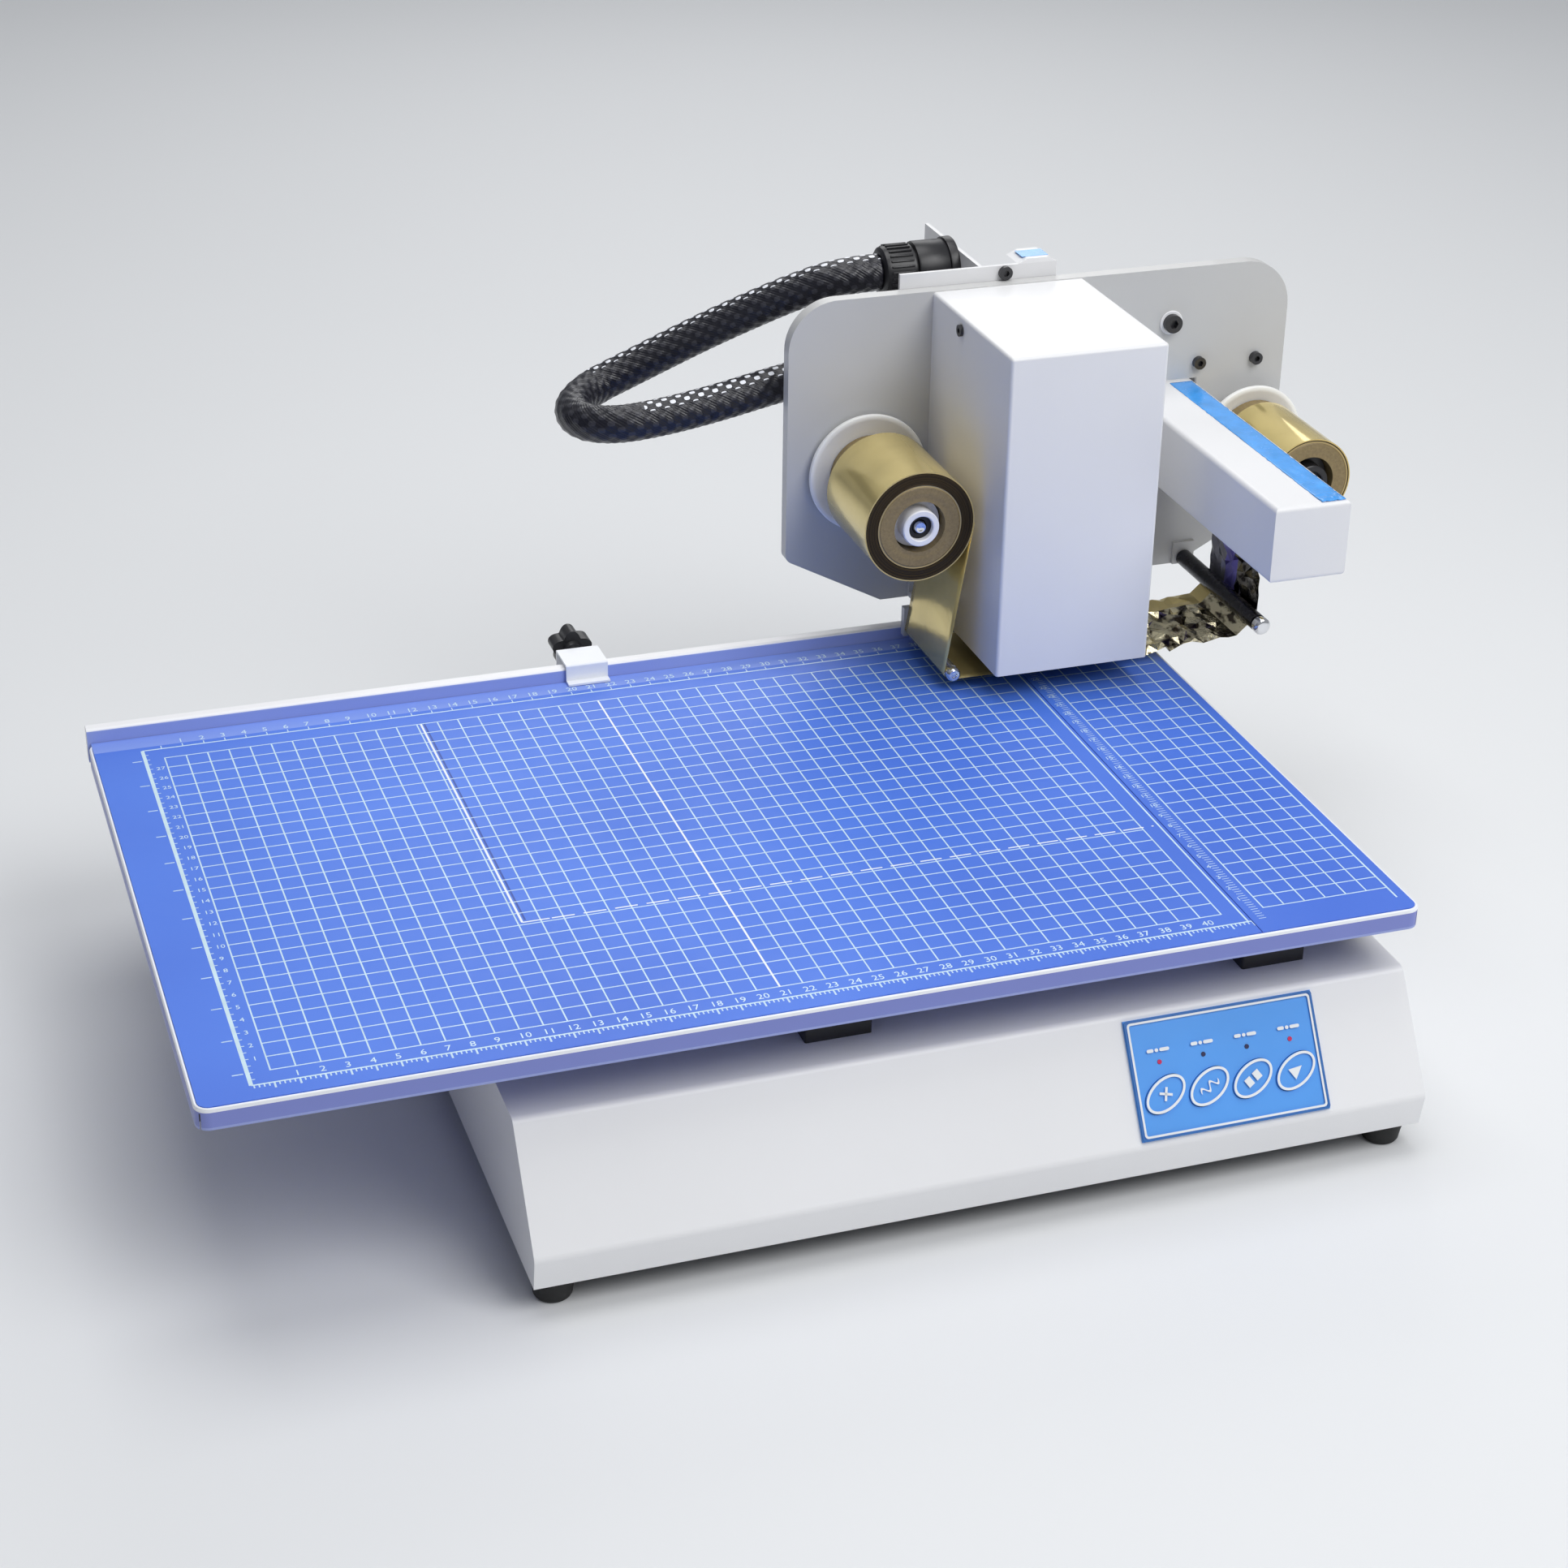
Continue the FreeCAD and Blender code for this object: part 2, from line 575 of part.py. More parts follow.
def bed():
    """Tray with folded lips, the two mats on it and the fence at the back."""
    tray = block("tray", (d.bed_w, d.bed_d, d.bed_lip - d.mat_thick),
                 from_mat(-d.bed_left, -d.bed_front, -d.bed_lip))
    soften(tray, d.bed_corner, along(Z))
    hollow = flat(tray, "XY_Plane", 0)
    wall = d.tray_wall
    far_x, far_y = d.bed_w - wall, d.bed_d - wall
    draw(hollow, [(wall, wall), (far_x, wall), (far_x, far_y), (wall, far_y)])
    extrude(tray, hollow, "Pocket", d.bed_lip - d.mat_thick - wall, back=True)
    keep(tray, "bed_tray")
    edge = d.mat_edge
    y = edge - d.bed_front
    deep = d.bed_d - edge - 0.3
    main = block("main_mat", (d.main_mat_w, deep, d.mat_thick), from_mat(edge - d.bed_left, y, -d.mat_thick))
    soften(main, d.bed_corner - edge, lambda e: along(Z)(e) and e.BoundBox.XMax < 1 and e.BoundBox.YMax < 1)
    keep(main, "cutting_mat")
    start = edge + d.main_mat_w + d.mat_seam
    side = block("side_mat_sheet", (d.bed_w - edge - start, deep, d.mat_thick),
                 from_mat(start - d.bed_left, y, -d.mat_thick))
    width = (d.bed_w - edge - start).value
    soften(side, d.bed_corner - edge,
           lambda e: along(Z)(e) and e.BoundBox.XMin > width - 1 and e.BoundBox.YMax < 1)
    keep(side, "side_mat")
    fence = block("fence_bar", (d.bed_w, d.fence_w, d.bed_lip + d.fence_rise),
                  from_mat(-d.bed_left, d.bed_d - d.bed_front, -d.bed_lip))
    soften(fence, 1.5, lambda e: along(X)(e) and e.BoundBox.ZMin > 5)
    keep(fence, "rear_fence")


def stop_clip():
    """Bent clip that rides on the fence, with a star knob that clamps it from behind."""
    wall = d.clip_wall
    front = d.clip_front
    back = d.clip_back
    body = new_body("clip_strip")
    side = flat(body, "YZ_Plane")
    deep = back - front
    lift = 0.3
    draw(side, [(-d.clip_foot, lift), (-d.clip_foot, lift + 1), (0, lift + 1), (0, d.clip_top),
                (deep, d.clip_top), (deep, -d.clip_leg), (deep - wall, -d.clip_leg),
                (deep - wall, d.clip_top - wall), (wall, d.clip_top - wall), (wall, lift)])
    extrude(body, side, "Pad", d.clip_w)
    soften(body, 1.0, lambda e: along(X)(e) and e.BoundBox.ZMin > SIZES["clip_top"] - 0.1)
    place(body, from_mat(d.clip_x, front, 0))
    bore = rod("clip_bore", d.stem_r + d.shaft_fit, 8, "Y",
               from_mat(d.clip_x + d.clip_w / 2, back - 6, d.knob_z))
    keep(cut(body, bore), "stop_clip")
    centre_x = d.clip_x + d.clip_w / 2
    hub = rod("knob_hub", d.knob_r * 0.72, d.knob_thick, "Y", from_mat(centre_x, d.knob_y, d.knob_z))
    lobes = []
    for i in range(5):
        angle = math.radians(90 + 72 * i)
        reach = d.knob_r * 0.66
        at = from_mat(centre_x + reach * math.cos(angle), d.knob_y, d.knob_z + reach * math.sin(angle))
        lobes.append(rod(f"knob_lobe_{i}", d.knob_r * 0.34, d.knob_thick, "Y", at))
    tip = d.fence_w + d.bed_d - d.bed_front
    stem = rod("knob_stem", d.stem_r, d.knob_y - tip - 0.3 + 1, "Y", from_mat(centre_x, tip + 0.3, d.knob_z))
    keep(joined("star", hub, *lobes, stem), "clamp_knob")


# ---- column and beam -------------------------------------------------------------------------

def column_and_beam():
    """Box column at the back, and the hollow beam that it holds over the bed's right edge."""
    floor_z = d.base_high - d.base_drop
    column = block("post", (d.column_w, d.column_d, d.column_top - floor_z),
                   from_mat(d.column_x, d.column_y, floor_z))
    soften(column, 3.0, along(Z))
    gap = d.beam_x - d.column_x - d.column_w
    spacer = block("beam_spacer", (gap + 2, d.column_d - 6, d.beam_high - 2),
                   from_mat(d.column_x + d.column_w - 2, d.column_y + 3, d.beam_bottom + 1))
    keep(joined("column_whole", column, spacer), "rear_column")
    end = d.column_y + d.column_d
    wall = d.beam_wall
    beam = block("beam_case", (d.beam_w, end - d.beam_front, d.beam_high),
                 from_mat(d.beam_x, d.beam_front, d.beam_bottom))
    soften(beam, d.beam_r, lambda e: along(Y)(e) or (e.BoundBox.YMax < 0.1 and along(X)(e)))
    hollow = flat(beam, "XZ_Plane", 0)
    slot = 6.0
    draw(hollow, [(slot, 0), (slot, wall), (wall, wall), (wall, d.beam_high - wall),
                  (d.beam_w - wall, d.beam_high - wall), (d.beam_w - wall, wall), (d.beam_w - slot, wall),
                  (d.beam_w - slot, 0)])
    bind(hollow, "AttachmentOffset.Base.z", -wall)
    extrude(beam, hollow, "Pocket", end - d.beam_front, back=False)
    keep(beam, "beam_cover")
    middle = d.beam_x + d.beam_w / 2
    roof = d.beam_bottom + d.beam_high - wall
    guide = block("guide_bar", (d.guide_w, end - d.beam_front - wall - 1, d.guide_high),
                  from_mat(middle - d.guide_w / 2, d.beam_front + wall + 0.5, roof - d.guide_high))
    keep(guide, "guide_rail")
    return middle, roof


def head_carriage(middle, roof):
    """Carriage block on the guide rail, and the arm that hangs the head from it."""
    fit = d.slide_fit
    top = roof - 2.0
    bottom = top - d.guide_high + 2 - d.carriage_high
    case = block("carriage_block", (d.carriage_w, d.carriage_d, top - bottom),
                 from_mat(middle - d.carriage_w / 2, d.plate_y + d.plate_rim, bottom))
    groove = bar("carriage_groove", (d.guide_w + fit * 2, d.carriage_d + 2, d.guide_high),
                 from_mat(middle - d.guide_w / 2 - fit, d.plate_y + d.plate_rim - 1, roof - d.guide_high - fit))
    low = d.beam_bottom - 22
    rear = d.plate_y + d.plate_wall
    arm = bar("arm_web", (16, d.plate_rim + 5, bottom + 2 - low), from_mat(middle - 8, rear, low))
    keep(joined("carriage_whole", cut(case, groove), arm), "head_carriage")


# ---- head ------------------------------------------------------------------------------------

def head_plate():
    """Back plate: a shallow pan with rounded shoulders and bevelled lower corners."""
    body = new_body("pan")
    w, high, slant = d.plate_w, d.plate_high, d.chamfer_high
    face = [(d.chamfer_w, 0), (w - d.chamfer_w, 0), (w, slant), (w, high), (0, high), (0, slant)]
    outline = flat(body, "XZ_Plane")
    draw(outline, face)
    extrude(body, outline, "Pad", d.plate_rim, back=True)
    top = SIZES["plate_high"]
    soften(body, d.plate_r, lambda e: along(Y)(e) and e.BoundBox.ZMin > top - 0.1)
    soften(body, 5.0, lambda e: along(Y)(e) and abs(e.BoundBox.ZMin - SIZES["chamfer_high"]) < 0.1)
    place(body, from_mat(d.head_x - d.plate_left, d.plate_y, d.plate_bottom))
    wall = d.plate_wall
    inner = new_body("pan_hollow")
    sketch = flat(inner, "XZ_Plane")
    draw(sketch, [(d.chamfer_w, wall), (w - d.chamfer_w, wall), (w - wall, d.chamfer_high + wall * 0.6),
                  (w - wall, high - wall), (wall, high - wall), (wall, d.chamfer_high + wall * 0.6)])
    extrude(inner, sketch, "Pad", d.plate_rim, back=True)
    soften(inner, d.plate_r - wall, lambda e: along(Y)(e) and e.BoundBox.ZMin > top - SIZES["plate_wall"] - 0.1)
    place(inner, from_mat(d.head_x - d.plate_left, d.plate_y + wall, d.plate_bottom))
    fit = d.beam_fit
    beam_hole = bar("beam_hole", (d.beam_w + fit * 2, 12, d.beam_high + fit * 2),
                    from_mat(d.beam_x - fit, d.plate_y - 2, d.beam_bottom - fit))
    bore = d.shaft_r + d.shaft_fit
    holes = [rod(f"shaft_hole_{i}", bore, 12, "Y", from_mat(x, d.plate_y - 2, z))
             for i, (x, z) in enumerate(((d.supply_x, d.supply_z), (d.take_x, d.take_z)))]
    keep(cut(body, inner, beam_hole, *holes), "head_plate")


def head_cover():
    """Tall box over the print head, open behind and below."""
    body = block("cover_box", (d.cover_w, d.cover_d, d.cover_high),
                 from_mat(d.head_x - d.cover_w / 2, d.plate_y - d.cover_d, d.cover_bottom))
    high = SIZES["cover_high"]
    soften(body, d.cover_r, lambda e: (along(Z)(e) and e.BoundBox.YMax < 1)
           or (not along(Z)(e) and e.BoundBox.ZMin > high - 0.1 and e.BoundBox.YMin < SIZES["cover_d"] - 0.1))
    wall = d.cover_wall
    hollow = flat(body, "XY_Plane", 0)
    draw(hollow, [(wall, wall), (d.cover_w - wall, wall), (d.cover_w - wall, d.cover_d), (wall, d.cover_d)])
    extrude(body, hollow, "Pocket", d.cover_high - wall, back=True)
    keep(body, "head_cover")


def screw(name, radius, thick, at, way):
    """A socket screw head that stands out along -Y or -X, with a hexagon socket in it."""
    axis = "Y" if way == "front" else "X"
    head = rod(name, radius, thick, axis, at)
    hexagon = doc.addObject("Part::Prism", name + "_socket")
    hexagon.Polygon = 6
    bind(hexagon, "Circumradius", size(radius) * 0.5)
    bind(hexagon, "Height", size(thick) * 0.6)
    x, y, z = at
    turn = {"Y": (X, -90), "X": (Y, 90)}[axis]
    back = size(thick) * 0.02
    place(hexagon, (x, y - back, z) if axis == "Y" else (x - back, y, z), turn)
    return cut(head, hexagon)


def fasteners():
    heads = [screw(f"plate_screw_{i}", radius, thick, from_mat(d.head_x + x, d.plate_y - thick, z), "front")
             for i, (x, z, radius, thick) in enumerate(((89.8, 149.8, 4.7, 4.0), (106.8, 127.0, 3.2, 3.0),
                                                        (138.9, 126.4, 3.2, 3.0)))]
    sheet_y = d.plate_y + d.plate_rim + 0.2
    bolt = screw("bracket_bolt", 3.4, 2.4, from_mat(d.head_x + 0.3, sheet_y - 2.4, 181.8), "front")
    keep(group("plate_screw_set", heads + [bolt]), "plate_screws")
    side = d.head_x - d.cover_w / 2
    left = screw("cover_screw_left", 2.9, 1.6, from_mat(side - 1.6, 282.0, 170.6), "side")
    low = screw("cover_screw_low", 2.9, 1.6, from_mat(side - 1.6, 306.0, 62.0), "side")
    right = rod("cover_screw_right", 2.9, 1.6, "X", from_mat(side + d.cover_w, 282.0, 170.6))
    keep(group("cover_screw_set", [left, low, right]), "cover_screws")


def print_unit():
    """Fixed frame and actuator in the cover, and the heated head that they press down."""
    x = d.head_x
    front = d.foil_front + 2
    back = d.foil_front + d.foil_w
    frame = block("actuator_frame", (56, 10, 128), from_mat(x - 28, d.plate_y - 12, 46))
    shelf = bar("actuator_shelf", (56, 40, 4), from_mat(x - 28, d.plate_y - 52, 114))
    pass_hole = rod("actuator_hole", 5, 8, "Z", from_mat(x, d.plate_y - 48, 112))
    keep(cut(joined("head_frame_whole", frame, shelf), pass_hole), "head_frame")
    half = d.motor_size / 2
    motor = block("press_motor_case", (d.motor_size - 4, d.motor_size - 4, 34),
                  from_mat(x + 2 - half, d.plate_y - 67, 118.1))
    soften(motor, 3.0, along(Z), "Chamfer")
    bore = rod("press_bore", 4, 44, "Z", from_mat(x, d.plate_y - 48, 112))
    keep(cut(motor, bore), "press_motor")
    low = d.print_low
    bar_w = d.print_w
    base = block("thermal_base", (bar_w, back - front, 13), from_mat(x - bar_w / 2, front, low))
    soften(base, 2.0, lambda e: along(Y)(e) and e.BoundBox.ZMax < 1)
    keep(base, "print_head")
    sink_low = low + 13
    left = x - bar_w / 2 + 4
    plate = block("sink_base", (bar_w - 8, back - front - 6, 5), from_mat(left, front + 3, sink_low))
    fins = [bar(f"fin_{i}", (1.6, back - front - 6, d.sink_high - 4),
                from_mat(left + i * 5.6, front + 3, sink_low + 4)) for i in range(10)]
    plunger = rod("plunger", 3.9, 96, "Z", from_mat(x, d.plate_y - 48, sink_low + 4))
    keep(joined("sink", plate, *fins, plunger), "heat_sink")


def spool(label, x, z, wound, flange_r, gap):
    """A foil spool on a cantilevered shaft: flange disc, paper core and wound foil."""
    disc_y = d.plate_y - gap - d.flange_thick
    front = d.foil_front
    length = disc_y - front
    hub = d.core_in - 0.3
    end = d.plate_y + d.plate_wall + 8 - front
    keep(turned(label + "_shaft", [
        (0, 0), (0, d.hub_r - 3.2), (-2, d.hub_r - 3.2), (-2, d.hub_r), (2, d.hub_r), (2, hub), (length, hub),
        (length, d.shaft_r), (end, d.shaft_r), (end, 0)], "Y", from_mat(x, front, z)), label + "_spindle")
    disc = tube(label + "_disc", flange_r, d.shaft_r, d.flange_thick, "Y", from_mat(x, disc_y, z))
    soften(disc, 0.8, lambda e: e.Curve.TypeId == "Part::GeomCircle" and e.Curve.Radius > SIZES["shaft_r"] + 1)
    keep(disc, label + "_flange")
    keep(tube(label + "_paper", d.core_out, d.core_in, length, "Y", from_mat(x, front, z)), label + "_core")
    keep(tube(label + "_wound", wound, d.core_out, d.foil_w, "Y", from_mat(x, front, z)), label + "_foil")


def spool_mounts():
    """Bearing of the supply shaft, and the geared motor that winds the used foil up."""
    start = d.plate_y + d.plate_wall
    bore = d.shaft_r + d.shaft_fit
    keep(tube("bearing_ring", 13, bore, 9, "Y", from_mat(d.supply_x, start, d.supply_z)), "supply_bearing")
    gear = rod("gearbox", 17, 22, "Y", from_mat(d.take_x, start, d.take_z))
    can = rod("motor_can", 15, 32, "Y", from_mat(d.take_x, start + 21.5, d.take_z))
    socket = rod("gearbox_bore", bore, 9, "Y", from_mat(d.take_x, start, d.take_z))
    keep(cut(joined("take_motor_whole", gear, can), socket), "foil_motor")


def guides():
    """Polished rod before the head, black bar after it, and their brackets."""
    clear = 0.4
    leg_thick = 4.0
    rear = d.foil_front + d.foil_w + clear
    front = d.foil_front - leg_thick
    long = rear + leg_thick - front
    keep(turned("left_guide", [
        (0, 0), (0, d.left_rod_r - 0.9), (0.9, d.left_rod_r), (long, d.left_rod_r), (long, 0)], "Y",
        from_mat(d.left_rod_x, front, d.left_rod_z)), "left_guide_rod")
    collar = d.left_rod_r + 0.8
    x = d.left_rod_x - collar
    leg_w = 17.3
    arm_w = 7.5
    arm_thick = 3.0
    rise = 8.0
    arm_x = x + leg_w - arm_w
    arm_z = d.left_rod_z + rise
    leg = block("rod_leg", (leg_w, leg_thick, collar + rise + arm_thick),
                from_mat(x, rear, d.left_rod_z - collar))
    arm = bar("rod_arm", (arm_w, d.plate_y - rear, arm_thick), from_mat(arm_x, rear, arm_z))
    foot = bar("rod_foot", (arm_w, arm_thick, 14), from_mat(arm_x, d.plate_y - arm_thick, arm_z))
    hole = rod("rod_hole", d.left_rod_r, 12, "Y", from_mat(d.left_rod_x, rear - 2, d.left_rod_z))
    bracket = cut(joined("rod_bracket", leg, arm, foot), hole)
    foot_thick = 2.0
    start = d.right_bar_front
    long = d.plate_y - foot_thick - start
    r = d.right_bar_r
    keep(turned("right_guide", [(0, 0), (0, r - 0.8), (0.8, r), (long, r), (long, 0)], "Y",
                from_mat(d.right_bar_x, start, d.right_bar_z)), "right_guide_bar")
    half = r + 1.6
    bar_foot = block("bar_foot", (half * 2, foot_thick, half * 2),
                     from_mat(d.right_bar_x - half, d.plate_y - foot_thick, d.right_bar_z - 3.6))
    keep(group("guide_bracket_set", [bracket, bar_foot]), "guide_brackets")


def ribbon(name, path, thick, width):
    """A strip of foil whose section follows a path of (x, z) points, offset by its thickness."""
    body = new_body(name)
    sketch = flat(body, "XZ_Plane")
    there = [(x, z) for x, z, _, _ in path]
    back = [(x + size(thick) * nx, z + size(thick) * nz) for x, z, nx, nz in reversed(path)]
    draw(sketch, there + back)
    extrude(body, sketch, "Pad", width, back=True)
    return body


def bend(x, z, radius, first, last, steps):
    """Points round a rod, far enough out for the straight runs between them to clear it."""
    half = math.radians(last - first) / steps / 2
    out = radius / math.cos(half)
    points = []
    for i in range(steps + 1):
        angle = math.radians(first) + half * 2 * i
        nx = round(math.cos(angle), 6)
        nz = round(math.sin(angle), 6)
        points.append((x + out * nx, z + out * nz, nx, nz))
    return points


def foil_web():
    """The foil between the spools: down to the rod, under the head, and up past the bar."""
    gap = 0.3
    low = d.foil_low - 0.5
    path = [(d.supply_x + d.supply_r + gap + d.foil_thick, d.supply_z - 2, -1, 0)]
    path += bend(d.left_rod_x, d.left_rod_z, d.left_rod_r + gap, 180, 270, 3)
    path += [(d.left_rod_x + 4, low, 0, -1), (d.head_x + 60, low, 0, -1),
             (d.right_bar_x - 8, low + 2.5, 0, -1)]
    path += bend(d.right_bar_x, d.right_bar_z, d.right_bar_r + gap, -60, 0, 2)
    path.append((d.take_x - d.take_r - 0.8, d.take_z - 4, 1, 0))
    body = ribbon("foil_strip", path, d.foil_thick, d.foil_w)
    place(body, from_mat(0, d.foil_front, 0))
    keep(body, "foil_web")


def rear_bracket():
    """Bracket on the back of the head that carries the hose gland, with a small hump cover."""
    y = d.plate_y + d.plate_rim + 0.2
    wall = d.bracket_wall
    back = d.plate_y + d.plate_wall
    sheet_front = block("bracket_sheet", (d.bracket_w, wall, d.bracket_top - d.bracket_low),
                        from_mat(d.bracket_left, y, d.bracket_low))
    fin = bar("bracket_fin", (wall, d.bracket_back - y, 35), from_mat(d.wall_x, y, d.bracket_top - 35))
    inset = 10.0
    apart = d.bracket_w - inset * 2
    spacers = [rod(f"spacer_{i}", 4, y - back + 0.5, "Y",
                   from_mat(d.bracket_left + inset + apart * (i % 2), back,
                            d.bracket_low + inset + 90 * (i // 2)))
               for i in range(4)]
    hole = rod("gland_bore", d.hose_r - 2, 10, "X", from_mat(d.wall_x - 4, d.gland_y, d.gland_z))
    keep(cut(joined("bracket_whole", sheet_front, fin, *spacers), hole), "rear_bracket")
    hump = new_body("hump")
    side = flat(hump, "XZ_Plane")
    w, high = d.hump_w, d.hump_high
    draw(side, [(0, 0), (w, 0), (w - 4, high), (5, high)])
    extrude(hump, side, "Pad", 16, back=True)
    place(hump, from_mat(d.hump_x, y, d.bracket_top))
    keep(hump, "hump_cover")


def gland(name, long, at):
    """A plastic hose gland along X: ribbed nut at its left end, flange at its right."""
    r = d.gland_r
    inner = d.hose_r - 2
    return turned(name, [
        (0, inner), (0, r - 2.5), (2.5, r - 0.5), (long * 0.35, r - 0.5), (long * 0.35, r), (long - 4, r),
        (long - 4, r + 1), (long, r + 1), (long, inner)], "X", at)


# The hose's route, from the mat corner: out of the upper gland, left, down and back to a bend, then
# forward and right to the lower gland on the column.
HOSE_ROUTE = (
    (381.7, 366.0, 174.5), (362.0, 366.0, 174.5), (340.0, 373.0, 166.0), (319.0, 380.5, 155.6),
    (297.5, 387.5, 144.6), (276.5, 392.0, 134.0), (257.5, 394.5, 125.0), (239.5, 394.0, 118.0),
    (224.9, 379.6, 114.2), (224.6, 359.8, 113.8), (238.5, 345.6, 115.6), (263.0, 344.6, 117.8),
    (291.0, 344.8, 122.2), (319.0, 346.0, 127.6), (345.0, 350.0, 130.6), (369.0, 356.5, 129.6),
    (391.0, 360.0, 126.0), (412.0, 360.0, 126.0),
)


def hose():
    """Braided hose as straight runs joined by tangent arcs."""
    corner = Vector(d.mat_x.value, d.mat_y.value, d.mat_z.value)
    points = [corner + Vector(*p) for p in HOSE_ROUTE]
    edges = []
    start = points[0]
    radii = []
    for before, here, after in zip(points, points[1:], points[2:]):
        way_in = (here - before).normalize()
        way_out = (after - here).normalize()
        turn = way_in.getAngle(way_out)
        shorter = min((here - before).Length, (after - here).Length)
        trim = 0.45 * shorter
        radii.append(trim / math.tan(turn / 2))
        arc_start = here - way_in * trim
        arc_end = here + way_out * trim
        toward = (way_out - way_in).normalize()
        middle = here + toward * (radii[-1] / math.cos(turn / 2) - radii[-1])
        edges.append(Part.LineSegment(start, arc_start).toShape())
        edges.append(Part.Arc(arc_start, middle, arc_end).toShape())
        start = arc_end
    edges.append(Part.LineSegment(start, points[-1]).toShape())
    path = Part.Wire(edges)
    section = Part.Wire(Part.Circle(points[0], points[1] - points[0], SIZES["hose_r"]).toShape())
    solid = Part.Wire(path).makePipeShell([section], True, True)
    expected = math.pi * SIZES["hose_r"] ** 2 * path.Length
    print("hose length", round(path.Length, 1), "tightest radius", round(min(radii), 1), "volume ratio",
          round(solid.Volume / expected, 4))
    print("hose radii", [round(r) for r in radii])
    piece = doc.addObject("Part::Feature", "hose_tube")
    piece.Shape = solid
    keep(piece, "braided_hose")


base_shell()
base_plate()
rubber_feet()
control_panel()
keys()
key_board()
electronics()
bearing_blocks()
bed_rails()
bed_drive()
bed()
stop_clip()
head_carriage(*column_and_beam())
head_plate()
head_cover()
fasteners()
print_unit()
spool("supply", d.supply_x, d.supply_z, d.supply_r, d.supply_flange_r, d.supply_gap)
spool("take_up", d.take_x, d.take_z, d.take_r, d.take_flange_r, d.take_gap)
spool_mounts()
guides()
foil_web()
rear_bracket()
keep(gland("upper_gland", d.gland_long, from_mat(d.gland_x, d.gland_y, d.gland_z)), "upper_hose_gland")
low_gland_at = from_mat(d.column_x - d.low_gland_long, d.low_gland_y, d.low_gland_z)
keep(gland("lower_gland", d.low_gland_long, low_gland_at), "lower_hose_gland")
hose()

doc.recompute()
faulty = [o.Name for o in doc.Objects if "Invalid" in o.State or "Error" in o.State]
if faulty:
    raise RuntimeError(f"objects that failed: {faulty}")
for node in nodes:
    if node.Shape.isNull() or not node.Shape.isValid():
        raise RuntimeError(f"{node.Label} has no valid shape")

os.makedirs("parts", exist_ok=True)
for node in nodes:
    node.Shape.exportStep(f"parts/{node.Label}.step")
print(len(nodes), "nodes written")
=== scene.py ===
import math
from functools import reduce
from operator import or_

import bmesh
import bpy
from bpy.props import FloatProperty, FloatVectorProperty, IntProperty, PointerProperty
from mathutils import Matrix, Vector, noise
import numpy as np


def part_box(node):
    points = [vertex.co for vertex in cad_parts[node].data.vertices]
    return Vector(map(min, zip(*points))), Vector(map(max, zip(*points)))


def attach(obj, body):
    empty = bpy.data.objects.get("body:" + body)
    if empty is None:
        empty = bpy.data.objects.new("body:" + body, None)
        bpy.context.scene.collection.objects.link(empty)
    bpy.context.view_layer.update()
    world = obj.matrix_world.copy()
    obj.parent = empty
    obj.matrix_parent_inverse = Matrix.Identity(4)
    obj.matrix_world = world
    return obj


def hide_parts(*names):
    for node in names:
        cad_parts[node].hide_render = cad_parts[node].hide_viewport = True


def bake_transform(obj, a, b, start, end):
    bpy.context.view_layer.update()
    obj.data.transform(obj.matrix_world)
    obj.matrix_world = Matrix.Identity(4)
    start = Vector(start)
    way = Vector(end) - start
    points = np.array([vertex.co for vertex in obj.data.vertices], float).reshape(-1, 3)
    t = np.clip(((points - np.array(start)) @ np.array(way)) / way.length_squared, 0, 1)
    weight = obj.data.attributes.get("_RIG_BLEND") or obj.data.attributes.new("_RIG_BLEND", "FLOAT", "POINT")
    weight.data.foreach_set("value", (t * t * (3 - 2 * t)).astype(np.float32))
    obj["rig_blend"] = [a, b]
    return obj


bl_info = {
    "name": "Flatbed foil printer",
    "version": (1, 0, 0),
    "blender": (4, 5, 0),
    "location": "View3D > Sidebar > Foil printer",
    "description": "Dresses the packed frame of a desktop flatbed foil printer and sets its studio",
    "category": "Object",
}

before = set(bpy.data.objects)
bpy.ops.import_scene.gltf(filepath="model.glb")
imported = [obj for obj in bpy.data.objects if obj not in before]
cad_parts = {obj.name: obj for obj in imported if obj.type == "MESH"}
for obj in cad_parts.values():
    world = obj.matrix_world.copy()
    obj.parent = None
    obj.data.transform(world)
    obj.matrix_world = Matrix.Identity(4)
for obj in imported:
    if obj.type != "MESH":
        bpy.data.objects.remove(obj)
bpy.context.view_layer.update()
MM = 0.001

# The mat's printed grid starts a little inside the mat's front left corner.
GRID_LEFT, GRID_FRONT = 31.0, 19.0
GRID_ACROSS, GRID_DEEP = 410.0, 280.0
MAT_LOW, MAT_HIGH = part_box("cutting_mat")
CORNER = Vector((MAT_LOW.x + GRID_LEFT * MM, MAT_LOW.y + GRID_FRONT * MM, MAT_HIGH.z))


def spot(x, y, z):
    """A point given in millimetres from the grid's front left crossing."""
    return CORNER + Vector((x, y, z)) * MM


def centre(node):
    low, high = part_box(node)
    return (low + high) / 2


# ---- settings ----

def colour(name, text, value):
    return FloatVectorProperty(name=name, description=text, subtype="COLOR", size=3, min=0, max=1,
                               default=value)


def length(name, text, value):
    return FloatProperty(name=name, description=text, default=value, min=0, unit="LENGTH", precision=5)


class BedSettings(bpy.types.PropertyGroup):
    blue: colour("Mat blue", "Colour of the two mats", (0.085, 0.225, 0.83))
    deep: colour("Deep blue", "Colour of the mats where they are worn darker", (0.055, 0.150, 0.66))
    ink: colour("Print", "Colour of the printed lines", (0.68, 0.87, 0.97))
    square: length("Square", "Side of one printed square", 0.010)
    line: length("Line", "Width of a printed grid line", 0.00066)


